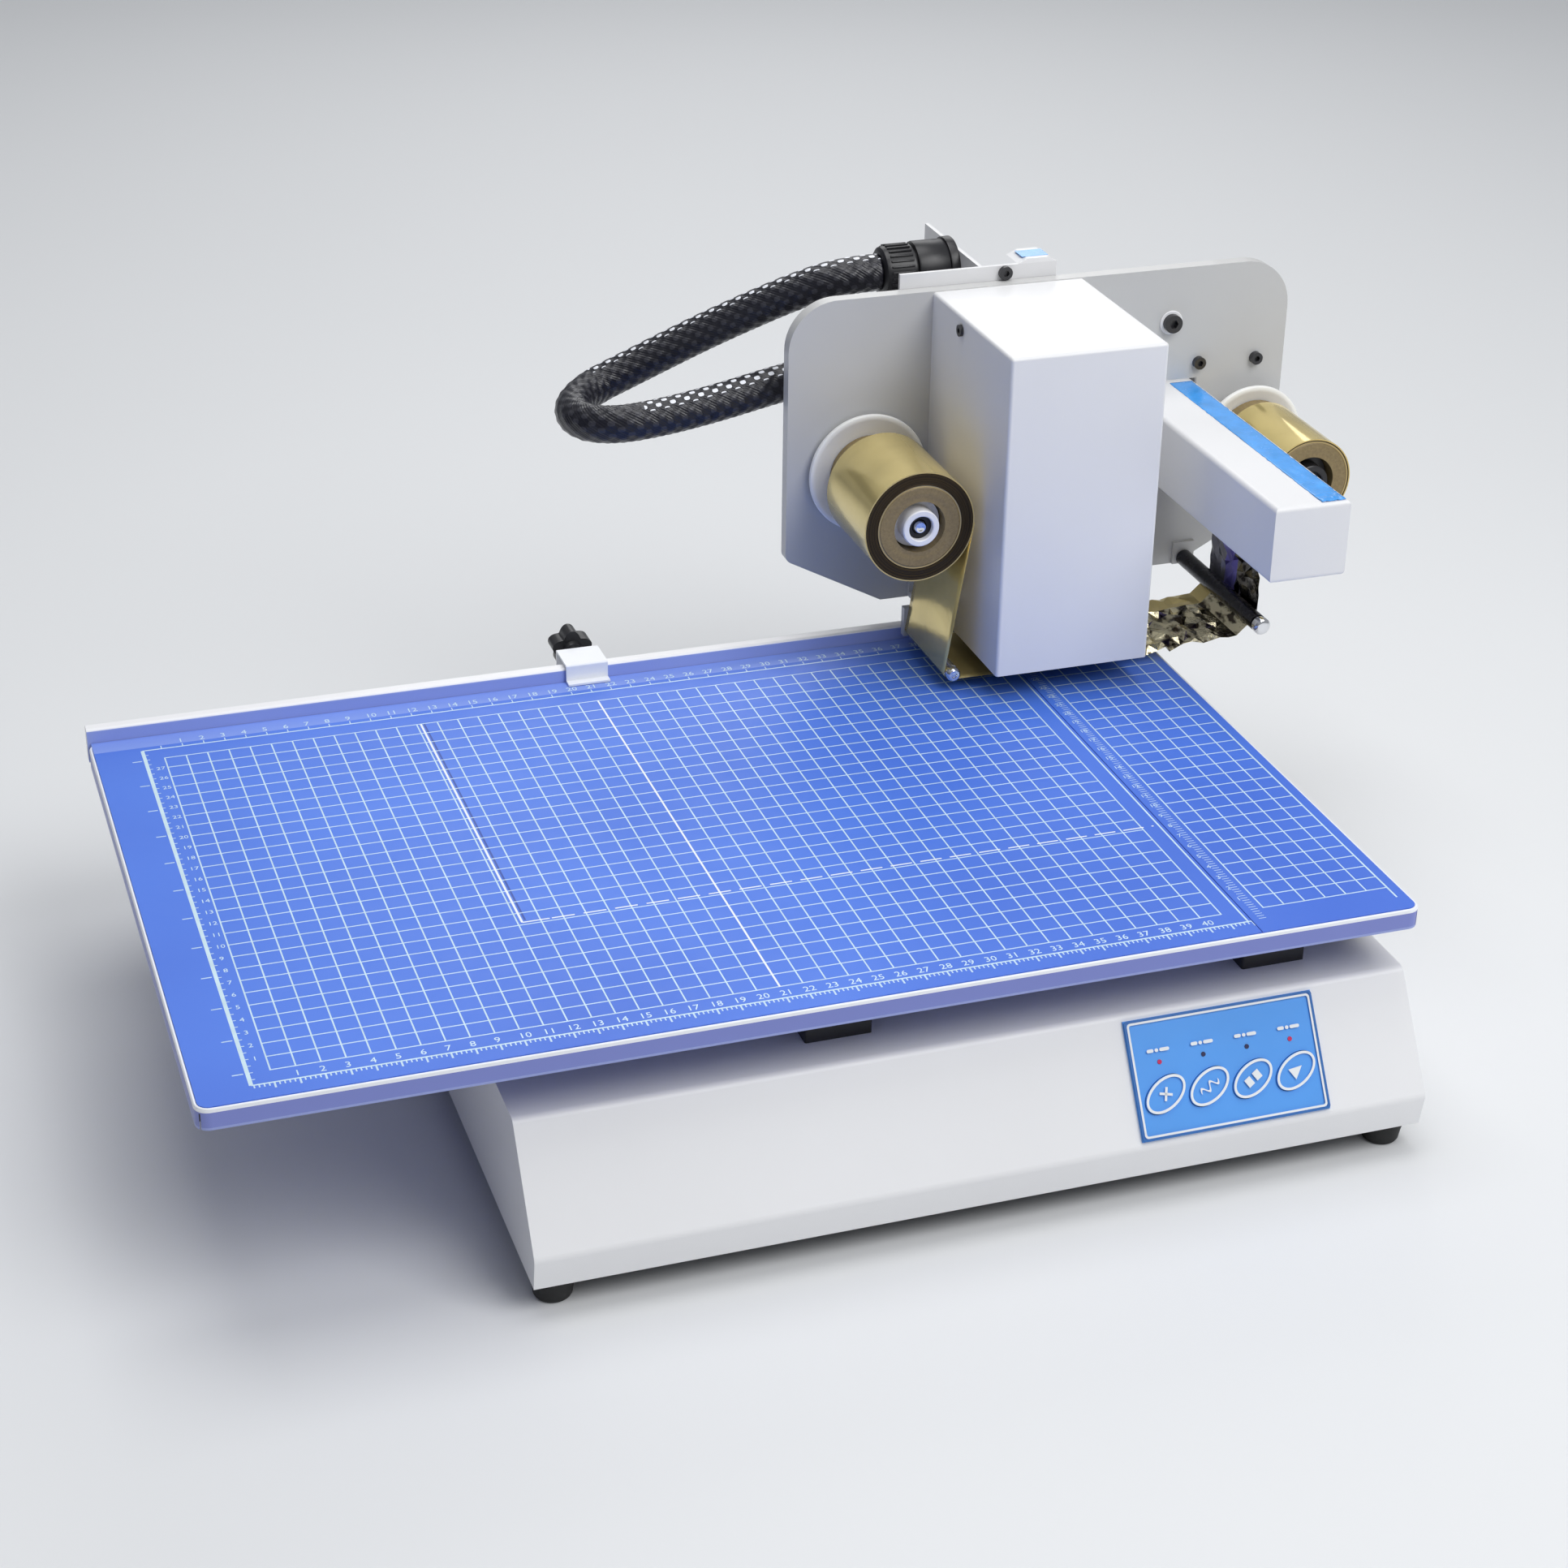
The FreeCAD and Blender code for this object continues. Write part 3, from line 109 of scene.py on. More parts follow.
class CaseSettings(bpy.types.PropertyGroup):
    white: colour("White", "Colour of the housing's powder coat", (0.86, 0.86, 0.87))
    grey: colour("Plate grey", "Colour of the head's back plate", (0.60, 0.60, 0.595))
    lilac: colour("Tray lilac", "Colour of the tray's folded lip", (0.20, 0.24, 0.60))
    sky: colour("Panel blue", "Colour of the key panel", (0.095, 0.37, 0.93))
    film: colour("Film blue", "Colour of the protective film left on the covers", (0.045, 0.30, 0.76))


class FoilSettings(bpy.types.PropertyGroup):
    gold: colour("Gold", "Colour of the foil's metal side", (0.96, 0.78, 0.33))
    crease: length("Crease", "Depth of the creases in the used foil", 0.0016)
    seed: IntProperty(name="Seed", description="Picks the pattern of creases", default=7, min=0)


class HoseSettings(bpy.types.PropertyGroup):
    radius: length("Radius", "Outer radius of the braided hose", 0.0095)
    knot: length("Knot", "Length of one crossing of the braid", 0.0074)
    strands: IntProperty(name="Strands", description="Crossings round the hose", default=9, min=4, max=40)
    relief: length("Relief", "Height of the braid's crossings", 0.00032)


class StudioSettings(bpy.types.PropertyGroup):
    lens: FloatProperty(name="Lens", description="Focal length of the camera in millimetres", default=69.59)
    turn: FloatProperty(name="Turn", description="Camera's heading to the right of the bed's depth",
                        subtype="ANGLE", default=math.radians(18.99))
    tilt: FloatProperty(name="Tilt", description="Camera's angle down", subtype="ANGLE",
                        default=math.radians(27.55))
    roll: FloatProperty(name="Roll", description="Camera's roll", subtype="ANGLE",
                        default=math.radians(0.898))
    key: FloatProperty(name="Key light", description="Power of the main light in watts", default=25.0)


class PrinterSettings(bpy.types.PropertyGroup):
    bed: PointerProperty(type=BedSettings)
    case: PointerProperty(type=CaseSettings)
    foil: PointerProperty(type=FoilSettings)
    hose: PointerProperty(type=HoseSettings)
    studio: PointerProperty(type=StudioSettings)


def settings():
    return bpy.context.scene.foil_printer


# ---- materials ----

class Field:
    """A number that varies over a surface, as the output of a node."""

    def __init__(self, maker, socket):
        self.maker, self.socket = maker, socket

    def __add__(self, other):
        return self.maker.math("ADD", self, other)

    def __sub__(self, other):
        return self.maker.math("SUBTRACT", self, other)

    def __mul__(self, other):
        return self.maker.math("MULTIPLY", self, other)

    def __truediv__(self, other):
        return self.maker.math("DIVIDE", self, other)

    def __or__(self, other):
        return self.maker.math("MAXIMUM", self, other)

    def __lt__(self, other):
        return self.maker.math("LESS_THAN", self, other)

    def __gt__(self, other):
        return self.maker.math("GREATER_THAN", self, other)

    def near(self, value, half):
        return self.maker.math("COMPARE", self, value, half)

    def between(self, low, high):
        return self.near((low + high) / 2, (high - low) / 2)

    def off_whole(self, step):
        """Distance to the nearest multiple of step, as a share of step."""
        return self.maker.math("PINGPONG", self / step, 0.5)

    def cosine(self):
        return self.maker.math("COSINE", self)


class Finish:
    """A material and the calls that grow its node tree."""

    def __init__(self, name, base, roughness=0.5, metallic=0.0, coat=0.0, sheen=0.0):
        self.material = bpy.data.materials.new(name)
        self.material.use_nodes = True
        self.tree = self.material.node_tree
        self.shader = self.tree.nodes["Principled BSDF"]
        values = {"Base Color": (*base, 1), "Roughness": roughness, "Metallic": metallic,
                  "Coat Weight": coat, "Sheen Weight": sheen}
        for socket, value in values.items():
            self.shader.inputs[socket].default_value = value
        self.material.diffuse_color = (*base, 1)
        self.base = base
        self.heights = None

    def node(self, kind, **values):
        made = self.tree.nodes.new(kind)
        for key, value in values.items():
            setattr(made, key, value)
        return made

    def feed(self, socket, value):
        if isinstance(value, Field):
            value = value.socket
        if isinstance(value, bpy.types.NodeSocket):
            self.tree.links.new(value, socket)
        else:
            socket.default_value = value

    def math(self, operation, *values):
        made = self.node("ShaderNodeMath", operation=operation)
        for socket, value in zip(made.inputs, values):
            self.feed(socket, value)
        return Field(self, made.outputs[0])

    def place(self, origin=(0, 0, 0), scale=(1, 1, 1)):
        """The point on the surface: object coordinates about an origin, scaled."""
        where = self.node("ShaderNodeTexCoord")
        mapping = self.node("ShaderNodeMapping")
        mapping.inputs["Scale"].default_value = scale
        mapping.inputs["Location"].default_value = -(Matrix.Diagonal(Vector(scale)) @ Vector(origin))
        self.tree.links.new(where.outputs["Object"], mapping.inputs["Vector"])
        return mapping.outputs["Vector"]

    def parts(self, vector):
        split = self.node("ShaderNodeSeparateXYZ")
        self.tree.links.new(vector, split.inputs[0])
        return [Field(self, out) for out in split.outputs]

    def speckle(self, scale, detail=2.0, vector=None, rough=0.5):
        """Noise from 0 to 1; scale is in features per metre."""
        made = self.node("ShaderNodeTexNoise")
        made.inputs["Scale"].default_value = scale
        made.inputs["Detail"].default_value = detail
        made.inputs["Roughness"].default_value = rough
        self.tree.links.new(vector or self.place(), made.inputs["Vector"])
        return Field(self, made.outputs["Fac"])

    def mix(self, share, a, b):
        made = self.node("ShaderNodeMix", data_type="RGBA")
        self.feed(made.inputs["Factor"], share)
        for socket, value in ((made.inputs[6], a), (made.inputs[7], b)):
            self.feed(socket, value if isinstance(value, bpy.types.NodeSocket) else (*value, 1))
        return made.outputs[2]

    def colour(self, socket):
        self.tree.links.new(socket, self.shader.inputs["Base Color"])
        return self

    def vary(self, other, scale=14.0, contrast=1.0):
        """Slow drift of the base colour towards another."""
        share = (self.speckle(scale, 3.0) - 0.5) * contrast + 0.5
        return self.colour(self.mix(share, self.base, other))

    def rough(self, low, high, scale=220.0, detail=4.0):
        made = self.node("ShaderNodeMapRange")
        made.inputs["To Min"].default_value = low
        made.inputs["To Max"].default_value = high
        self.feed(made.inputs["Value"], self.speckle(scale, detail))
        self.tree.links.new(made.outputs["Result"], self.shader.inputs["Roughness"])
        return self

    def bump(self, height, strength=0.2, distance=0.0002):
        made = self.node("ShaderNodeBump")
        made.inputs["Strength"].default_value = strength
        made.inputs["Distance"].default_value = distance
        self.feed(made.inputs["Height"], height)
        if self.heights is not None:
            self.tree.links.new(self.heights, made.inputs["Normal"])
        self.heights = made.outputs["Normal"]
        self.tree.links.new(self.heights, self.shader.inputs["Normal"])
        return self


def shade(base, share):
    return tuple(channel * share for channel in base)


def powder_coat(name, base, roughness=0.42):
    """Baked enamel on steel sheet, with orange peel and faint unevenness."""
    made = Finish(name, base, roughness, coat=0.12)
    made.vary(shade(base, 0.955), 9.0, 1.6)
    made.rough(roughness - 0.07, roughness + 0.09, 60.0)
    return made.bump(made.speckle(1500.0, 2.0), 0.16, 0.00006)


def moulded(name, base, roughness=0.45, grain=2600.0):
    """Moulded plastic with a fine spark-eroded grain."""
    made = Finish(name, base, roughness)
    made.vary(shade(base, 1.25), 40.0, 1.2)
    made.rough(roughness - 0.08, roughness + 0.1, 180.0)
    return made.bump(made.speckle(grain, 3.0), 0.3, 0.00008)


def turned_metal(name, base, roughness=0.22, grain=(60, 6000, 60)):
    """Ground or drawn metal whose fine lines run one way."""
    made = Finish(name, base, roughness, metallic=1.0)
    lines = made.speckle(1.0, 2.0, made.place(scale=grain))
    made.colour(made.mix(lines, shade(base, 0.82), base))
    made.rough(roughness * 0.7, roughness * 1.5, 300.0)
    return made.bump(lines, 0.12, 0.00004)


def cast_black(name, roughness=0.5):
    made = Finish(name, (0.018, 0.018, 0.021), roughness)
    made.vary((0.030, 0.030, 0.034), 60.0, 1.5)
    made.rough(roughness - 0.1, roughness + 0.12, 240.0)
    return made.bump(made.speckle(1800.0, 3.0), 0.35, 0.0001)


def mat_print(name):
    """Self-healing mat: soft blue plastic with printed squares, frames, rulers and format lines."""
    bed = settings().bed
    made = Finish(name, bed.blue, 0.46)
    x, y, _ = made.parts(made.place(CORNER, (1000, 1000, 1000)))
    square, half = bed.square / MM, bed.line / MM / 2
    side_left, side_right, seam = 430.0, 490.0, 420.0
    deep_rows = y.between(-half, GRID_DEEP + half)
    squares = (x.off_whole(square) < half / square) | (y.off_whole(square) < half / square)
    main_cells = x.between(-half, GRID_ACROSS + half) * deep_rows
    side_cells = x.between(side_left - half, side_right + half) * deep_rows
    grid = squares * (main_cells | side_cells)
    margin, front, rear = -9.0, -9.0, 290.0
    upright = y.between(front, rear)
    level = x.between(margin, seam)
    thick = 0.42
    sides = x.near(margin, thick * 2) | x.near(seam - 1.6, thick) | x.near(side_right, thick)
    frames = sides * upright | (y.near(front, thick) | y.near(rear, thick)) * level
    inch = 25.4
    rulers = [  # along, step, mark's width, across, from, to, the stretch it is printed on
        (x, 2.0, 0.3, y, front - 2.2, front, level),
        (x, square, 0.4, y, front - 4.0, front, level),
        (x, square, 0.25, y, rear, rear + 3.0, level),
        (y, 5.0, 0.25, x, margin, margin + 2.2, upright),
        (y, inch, 0.35, x, margin - 6.0, margin - 1.6, upright),
        (y, 2.0, 0.2, x, seam + 4.0, side_left - 2.6, upright)]
    comb = reduce(or_, [(along.off_whole(step) < wide / step) * across.between(start, end) * stretch
                        for along, step, wide, across, start, end, stretch in rulers])
    format_left, format_low = 122.0, 82.0
    dashes = y.near(format_low, 0.42) * x.between(format_left, GRID_ACROSS + 6) * (x.off_whole(14.0) < 0.36)
    corner = x.near(format_left, 0.5) * y.between(format_low, GRID_DEEP)
    foot = y.near(format_low, 0.4) * x.between(format_left, format_left + 12)
    middle = x.near(GRID_ACROSS / 2 + 5, 0.45) * deep_rows
    shadow_line = x.near(format_left + 1.6, 0.45) * y.between(format_low + 1.5, GRID_DEEP)
    drift = (made.speckle(5.0, 2.0) - 0.5) * 2.2 + 0.42
    base = made.mix(drift, bed.blue, bed.deep)
    band = y.between(rear + 3.5, 330.0) * 0.34
    base = made.mix(band, base, (0.50, 0.60, 0.95))
    base = made.mix(shadow_line * 0.8, base, (0.020, 0.050, 0.30))
    wear = (made.speckle(90.0, 3.0) - 0.30) * 1.9
    lines = made.mix(wear, shade(bed.ink, 0.84), bed.ink)
    print_share = grid * 0.95 | frames | comb * 0.9
    base = made.mix(print_share, base, lines)
    base = made.mix(dashes | corner | foot | middle, base, (0.86, 0.90, 0.92))
    made.colour(base)
    made.rough(0.36, 0.54, 80.0)
    return made.bump(made.speckle(1400.0, 3.0), 0.22, 0.00006)


def lip_paint(name):
    """The tray's colour: white along its folded top edge as a painted highlight, lilac down the lip, pale
    again at its foot.
    """
    case = settings().case
    made = Finish(name, case.lilac, 0.4, coat=0.1)
    _, _, z = made.parts(made.place(CORNER, (1000, 1000, 1000)))
    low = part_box("bed_tray")[0].z
    foot = (low - CORNER.z) / MM
    base = made.mix(z < foot + 1.1, case.lilac, (0.30, 0.36, 0.70))
    # Painted highlight: the top 1.9 mm of the lip is white, where its bent edge catches the light.
    base = made.mix(z > -1.9, base, (0.90, 0.92, 0.97))
    made.colour(base)
    made.rough(0.32, 0.5, 90.0)
    return made.bump(made.speckle(1500.0), 0.14, 0.00006)


def fence_paint(name):
    made = Finish(name, (0.30, 0.38, 0.78), 0.36, coat=0.1)
    _, y, z = made.parts(made.place(CORNER, (1000, 1000, 1000)))
    top = (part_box("rear_fence")[1].z - CORNER.z) / MM
    base = made.mix((made.speckle(7.0) - 0.3) * 1.4, (0.30, 0.38, 0.78), (0.42, 0.50, 0.85))
    base = made.mix((z > top - 0.9) | (y > 308.0), base, (0.90, 0.90, 0.92))
    made.colour(base)
    made.rough(0.3, 0.46, 90.0)
    return made.bump(made.speckle(1500.0), 0.14, 0.00006)


def foil_metal(name, base, roughness=0.17, wrinkle=0.25, scale=240.0, metallic=0.62):
    made = Finish(name, base, roughness, metallic)
    made.vary(shade(base, 0.72), 34.0, 1.8)
    made.rough(roughness * 0.7, roughness * 1.7, 160.0)
    return made.bump(made.speckle(scale, 3.0), wrinkle, 0.0005)


def used_foil(name, bright, dark):
    """Crumpled foil: bright and dark facets as the creases catch and lose the light."""
    made = Finish(name, bright, 0.14, metallic=1.0)
    facets = made.speckle(1.0, 2.0, made.place(scale=(150, 95, 150)))
    gaps = made.speckle(1.0, 1.0, made.place(scale=(420, 240, 420)))
    share = (facets - 0.50) * 7.0 + (gaps - 0.5) * 3.0 + 0.10
    made.colour(made.mix(share, bright, dark))
    return made.bump(made.speckle(700.0, 3.0), 0.5, 0.0004)


def wound_edge(name, middle, inner, outer):
    """The end of a roll: hundreds of foil edges in rings, dark between bright."""
    made = Finish(name, (0.16, 0.11, 0.045), 0.42, metallic=0.6)
    x, _, z = made.parts(made.place(middle, (1000, 1000, 1000)))
    radius = made.math("SQRT", x * x + z * z)
    rings = made.node("ShaderNodeTexNoise", noise_dimensions="1D")
    rings.inputs["Scale"].default_value = 2.6
    rings.inputs["Detail"].default_value = 5.0
    made.feed(rings.inputs["W"], radius)
    turns = Field(made, rings.outputs["Fac"])
    base = made.mix((turns - 0.40) * 3.0, (0.016, 0.009, 0.002), (0.10, 0.062, 0.016))
    base = made.mix(radius > outer - 0.6, base, (0.72, 0.55, 0.22))
    base = made.mix(radius < inner + 0.8, base, (0.50, 0.38, 0.18))
    made.colour(base)
    return made.bump(turns, 0.5, 0.0002)


def card(name):
    made = Finish(name, (0.24, 0.175, 0.075), 0.45)
    fibres = made.speckle(1.0, 4.0, made.place(scale=(900, 120, 900)))
    made.colour(made.mix(fibres, (0.17, 0.12, 0.05), (0.33, 0.245, 0.11)))
    return made.bump(fibres, 0.4, 0.00015)


def braid(name):
    """Glossy black yarn with slightly lighter crossings, and a painted highlight on the crossings along the
    hose's upper side; it reads the hose's own UV map.
    """
    hose = settings().hose
    made = Finish(name, (0.010, 0.010, 0.016), 0.30)
    uv = made.node("ShaderNodeUVMap", uv_map="along_round")
    u, v, _ = made.parts(uv.outputs["UV"])
    turn = 2 * math.pi
    along, around = u * turn, v * (turn * hose.strands)
    crossing = around.cosine() * along.cosine()
    threads = (around * 4.0 + along * 4.0).cosine()
    base = made.mix((crossing > 0.30) * 0.6, (0.008, 0.008, 0.014), (0.050, 0.050, 0.062))
    # Painted highlight: pale dashes on the crossings along the upper side (v near 0.25), left off between
    # knots 21 and 31.
    painted_glint = (crossing > 0.34) * v.near(0.25, 0.075) * made.math("SUBTRACT", 1.0, u.between(21.0, 31.0))
    made.colour(made.mix(painted_glint, base, (0.86, 0.88, 0.94)))
    made.rough(0.22, 0.42, 400.0)
    return made.bump(threads, 0.35, 0.0001)


def film(name):
    """Thin blue protective film, wrinkled and glossy."""
    base = settings().case.film
    made = Finish(name, base, 0.24, coat=0.5)
    made.vary(shade(base, 1.35), 120.0, 2.0)
    made.rough(0.14, 0.34, 300.0)
    return made.bump(made.speckle(420.0, 3.0), 0.4, 0.0004)


def panel_print(name, base):
    made = Finish(name, base, 0.33, coat=0.25)
    made.vary(shade(base, 0.88), 22.0, 1.4)
    made.rough(0.26, 0.42, 200.0)
    return made.bump(made.speckle(2400.0, 2.0), 0.2, 0.00005)


FINISHES = {}


def finish(name):
    """The named material, made when it is first asked for."""
    case, foil = settings().case, settings().foil
    recipes = {
        "white enamel": (powder_coat, case.white),
        "column enamel": (powder_coat, shade(case.white, 0.92)),
        "plate enamel": (powder_coat, case.grey, 0.36),
        "flange plastic": (moulded, (0.88, 0.88, 0.86), 0.36),
        "hub plastic": (moulded, (0.82, 0.82, 0.84), 0.34),
        "black plastic": (moulded, (0.012, 0.012, 0.014), 0.34),
        "recess black": (moulded, (0.006, 0.006, 0.007), 0.55),
        "black metal": (cast_black, 0.42),
        "rubber": (moulded, (0.012, 0.012, 0.012), 0.66, 1600.0),
        "screw black": (cast_black, 0.30),
        "steel rod": (turned_metal, (0.62, 0.63, 0.66), 0.2, (40, 4000, 4000)),
        "aluminium": (turned_metal, (0.70, 0.71, 0.74), 0.34, (60, 60, 2500)),
        "chrome": (turned_metal, (0.82, 0.83, 0.86), 0.09, (2000, 40, 2000)),
        "dark bar": (turned_metal, (0.055, 0.055, 0.062), 0.24, (2500, 40, 2500)),
        "gold foil": (foil_metal, foil.gold),
        "roll foil": (foil_metal, foil.gold, 0.13, 0.10, 60.0),
        "used foil": (used_foil, (0.90, 0.82, 0.56), (0.07, 0.055, 0.04)),
        "dark foil": (used_foil, (0.20, 0.19, 0.17), (0.025, 0.022, 0.02)),
        "violet foil": (foil_metal, (0.22, 0.19, 0.66), 0.26),
        "silver foil": (foil_metal, (0.34, 0.34, 0.40), 0.14),
        "card": (card,),
        "mat": (mat_print,),
        "lip": (lip_paint,),
        "fence": (fence_paint,),
        "edge white": (powder_coat, (0.90, 0.92, 0.96), 0.3),
        "braid": (braid,),
        "film": (film,),
        "panel blue": (panel_print, case.sky),
        "panel line": (panel_print, (0.030, 0.16, 0.48)),
        "panel white": (panel_print, (0.90, 0.93, 0.95)),
        "lamp": (Finish, (0.60, 0.03, 0.12), 0.18, 0.0, 0.6),
        "dark lamp": (Finish, (0.03, 0.03, 0.09), 0.2, 0.0, 0.6),
        "ink": (panel_print, settings().bed.ink),
        "board": (moulded, (0.02, 0.16, 0.06), 0.4),
        "belt": (moulded, (0.014, 0.014, 0.014), 0.6),
    }
    if name not in FINISHES:
        maker, *values = recipes[name]
        FINISHES[name] = maker(name, *values).material
    return FINISHES[name]


# ---- meshes ----

SMOOTH_BELOW = math.radians(38)


def linked(name, data):
    made = bpy.data.objects.new(name, data)
    bpy.context.scene.collection.objects.link(made)
    return made


def meshed(bm, name):
    mesh = bpy.data.meshes.new(name)
    bm.to_mesh(mesh)
    bm.free()
    return mesh


def evaluated(thing):
    """A mesh of an object as its curve or modifiers leave it."""
    bpy.context.view_layer.update()
    return bpy.data.meshes.new_from_object(thing.evaluated_get(bpy.context.evaluated_depsgraph_get()))


def span(node, axis="Y"):
    """Where a round node starts on its axis, its length and its radius in millimetres."""
    low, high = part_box(node)
    middle, size = (low + high) / 2, (high - low) / MM
    if axis == "X":
        return Vector((low.x, middle.y, middle.z)), size.x, size.z / 2
    return Vector((middle.x, low.y, middle.z)), size.y, size.x / 2


def put(name, mesh, material, body, replaces=()):
    """Links a finished mesh as a piece that rides on a body."""
    made = linked(name, mesh)
    if mesh.materials:
        mesh.materials.clear()
    for one in [material] if isinstance(material, str) else material:
        mesh.materials.append(finish(one))
    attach(made, body)
    if replaces:
        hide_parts(*replaces)
    return made


def solid(bm, name):
    """A mesh from a bmesh, smooth except across sharp edges, with faces turned outwards."""
    bmesh.ops.remove_doubles(bm, verts=bm.verts, dist=1e-7)
    bmesh.ops.recalc_face_normals(bm, faces=bm.faces)
    for face in bm.faces:
        face.smooth = True
    for edge in bm.edges:
        edge.smooth = edge.is_manifold and edge.calc_face_angle(0.0) < SMOOTH_BELOW
    return meshed(bm, name)


def merged(meshes, name):
    """One mesh from several, each with its own material index."""
    bm = bmesh.new()
    for index, mesh in enumerate(meshes):
        first = len(bm.faces)
        bm.from_mesh(mesh)
        bm.faces.ensure_lookup_table()
        for face in bm.faces[first:]:
            face.material_index = index
    return meshed(bm, name)


def lathe(bm, profile, at, axis="Y", segments=96):
    """Adds a closed (along, radius) profile in millimetres, turned about an axis through a point."""
    rings = []
    for along, radius in profile:
        ring = []
        for step in range(segments if radius > 0 else 1):
            angle = 2 * math.pi * step / segments
            c, s = radius * math.cos(angle), radius * math.sin(angle)
            point = {"X": (along, c, s), "Y": (c, along, -s), "Z": (c, s, along)}[axis]
            ring.append(bm.verts.new(at + Vector(point) * MM))
        rings.append(ring)
    for one, two in zip(rings, rings[1:] + rings[:1]):
        for step in range(segments):
            corners = [one[step % len(one)], one[(step + 1) % len(one)],
                       two[(step + 1) % len(two)], two[step % len(two)]]
            unique = list(dict.fromkeys(corners))
            if len(unique) > 2 and not (len(one) == 1 and len(two) == 1):
                bm.faces.new(unique)
    return bm


def turned(name, profile, at, axis="Y", segments=96):
    return solid(lathe(bmesh.new(), profile, at, axis, segments), name)


def rounded_box(low, high, radius, segments=3):
    """A box between two corners with rounded edges, as a bmesh."""
    bm = bmesh.new()
    place = Matrix.Translation((low + high) / 2) @ Matrix.Diagonal((*(high - low), 1))
    bmesh.ops.create_cube(bm, size=1.0, matrix=place)
    bmesh.ops.bevel(bm, geom=bm.edges[:], offset=radius, segments=segments, profile=0.5, affect="EDGES")
    return bm


def slab(outline, low, high, origin, across=Vector((1, 0, 0)), up=Vector((0, 1, 0)), bevel=0.0):
    """A closed outline in millimetres raised from low to high along the normal of its plane, as a bmesh."""
    bm = bmesh.new()
    normal = across.cross(up)
    bottom = [bm.verts.new(origin + (across * u + up * v + normal * low) * MM) for u, v in outline]
    top = [bm.verts.new(origin + (across * u + up * v + normal * high) * MM) for u, v in outline]
    bm.faces.new(list(reversed(bottom)))
    cap = bm.faces.new(top)
    for i in range(len(outline)):
        j = (i + 1) % len(outline)
        bm.faces.new((bottom[i], bottom[j], top[j], top[i]))
    if bevel:
        bmesh.ops.bevel(bm, geom=list(cap.edges), offset=bevel * MM, segments=2, affect="EDGES")
    return bm


def band(outer, inner, low, high, origin, across, up):
    """The flat ring between two outlines with the same number of points, as a bmesh."""
    bm = bmesh.new()
    normal = across.cross(up)
    rows = []
    for outline, height in ((outer, low), (outer, high), (inner, high), (inner, low)):
        rows.append([bm.verts.new(origin + (across * u + up * v + normal * height) * MM) for u, v in outline])
    for one, two in zip(rows, rows[1:] + rows[:1]):
        for i in range(len(outer)):
            j = (i + 1) % len(outer)
            bm.faces.new((one[i], one[j], two[j], two[i]))
    return bm


def rounded_rect(w, h, r, steps=6):
    points = []
    for cx, cy, start in ((w - r, h - r, 0), (r, h - r, 90), (r, r, 180), (w - r, r, 270)):
        for step in range(steps + 1):
            angle = math.radians(start + 90 * step / steps)
            points.append((cx + r * math.cos(angle), cy + r * math.sin(angle)))
    return points


def turn_flat(u, v, angle, cx=0.0, cy=0.0):
    """A flat point turned about the origin, then moved."""
    c, s = math.cos(angle), math.sin(angle)
    return cx + u * c - v * s, cy + u * s + v * c


def ellipse(a, b, lean, cx, cy, steps=56):
    turns = [2 * math.pi * step / steps for step in range(steps)]
    return [turn_flat(a * math.cos(t), b * math.sin(t), lean, cx, cy) for t in turns]


def sweep(bm, points, radius, sides=12, closed=False):
    """A round bead along points, capped at its ends."""
    rings = []
    count = len(points)
    lift = Vector((0, 0, 1))
    for i, point in enumerate(points):
        before = points[i - 1] if (i or closed) else point
        after = points[(i + 1) % count] if (i + 1 < count or closed) else point
        along = (after - before).normalized()
        side = along.cross(lift).normalized()
        lift = side.cross(along).normalized()
        ring = []
        for step in range(sides):
            angle = 2 * math.pi * step / sides
            ring.append(bm.verts.new(point + (side * math.cos(angle) + lift * math.sin(angle)) * radius))
        rings.append(ring)
    pairs = list(zip(rings, rings[1:])) + ([(rings[-1], rings[0])] if closed else [])
    for one, two in pairs:
        for step in range(sides):
            nxt = (step + 1) % sides
            bm.faces.new((one[step], one[nxt], two[nxt], two[step]))
    if not closed:
        bm.faces.new(list(reversed(rings[0])))
        bm.faces.new(rings[-1])
    return bm


# ---- repeated pieces ----

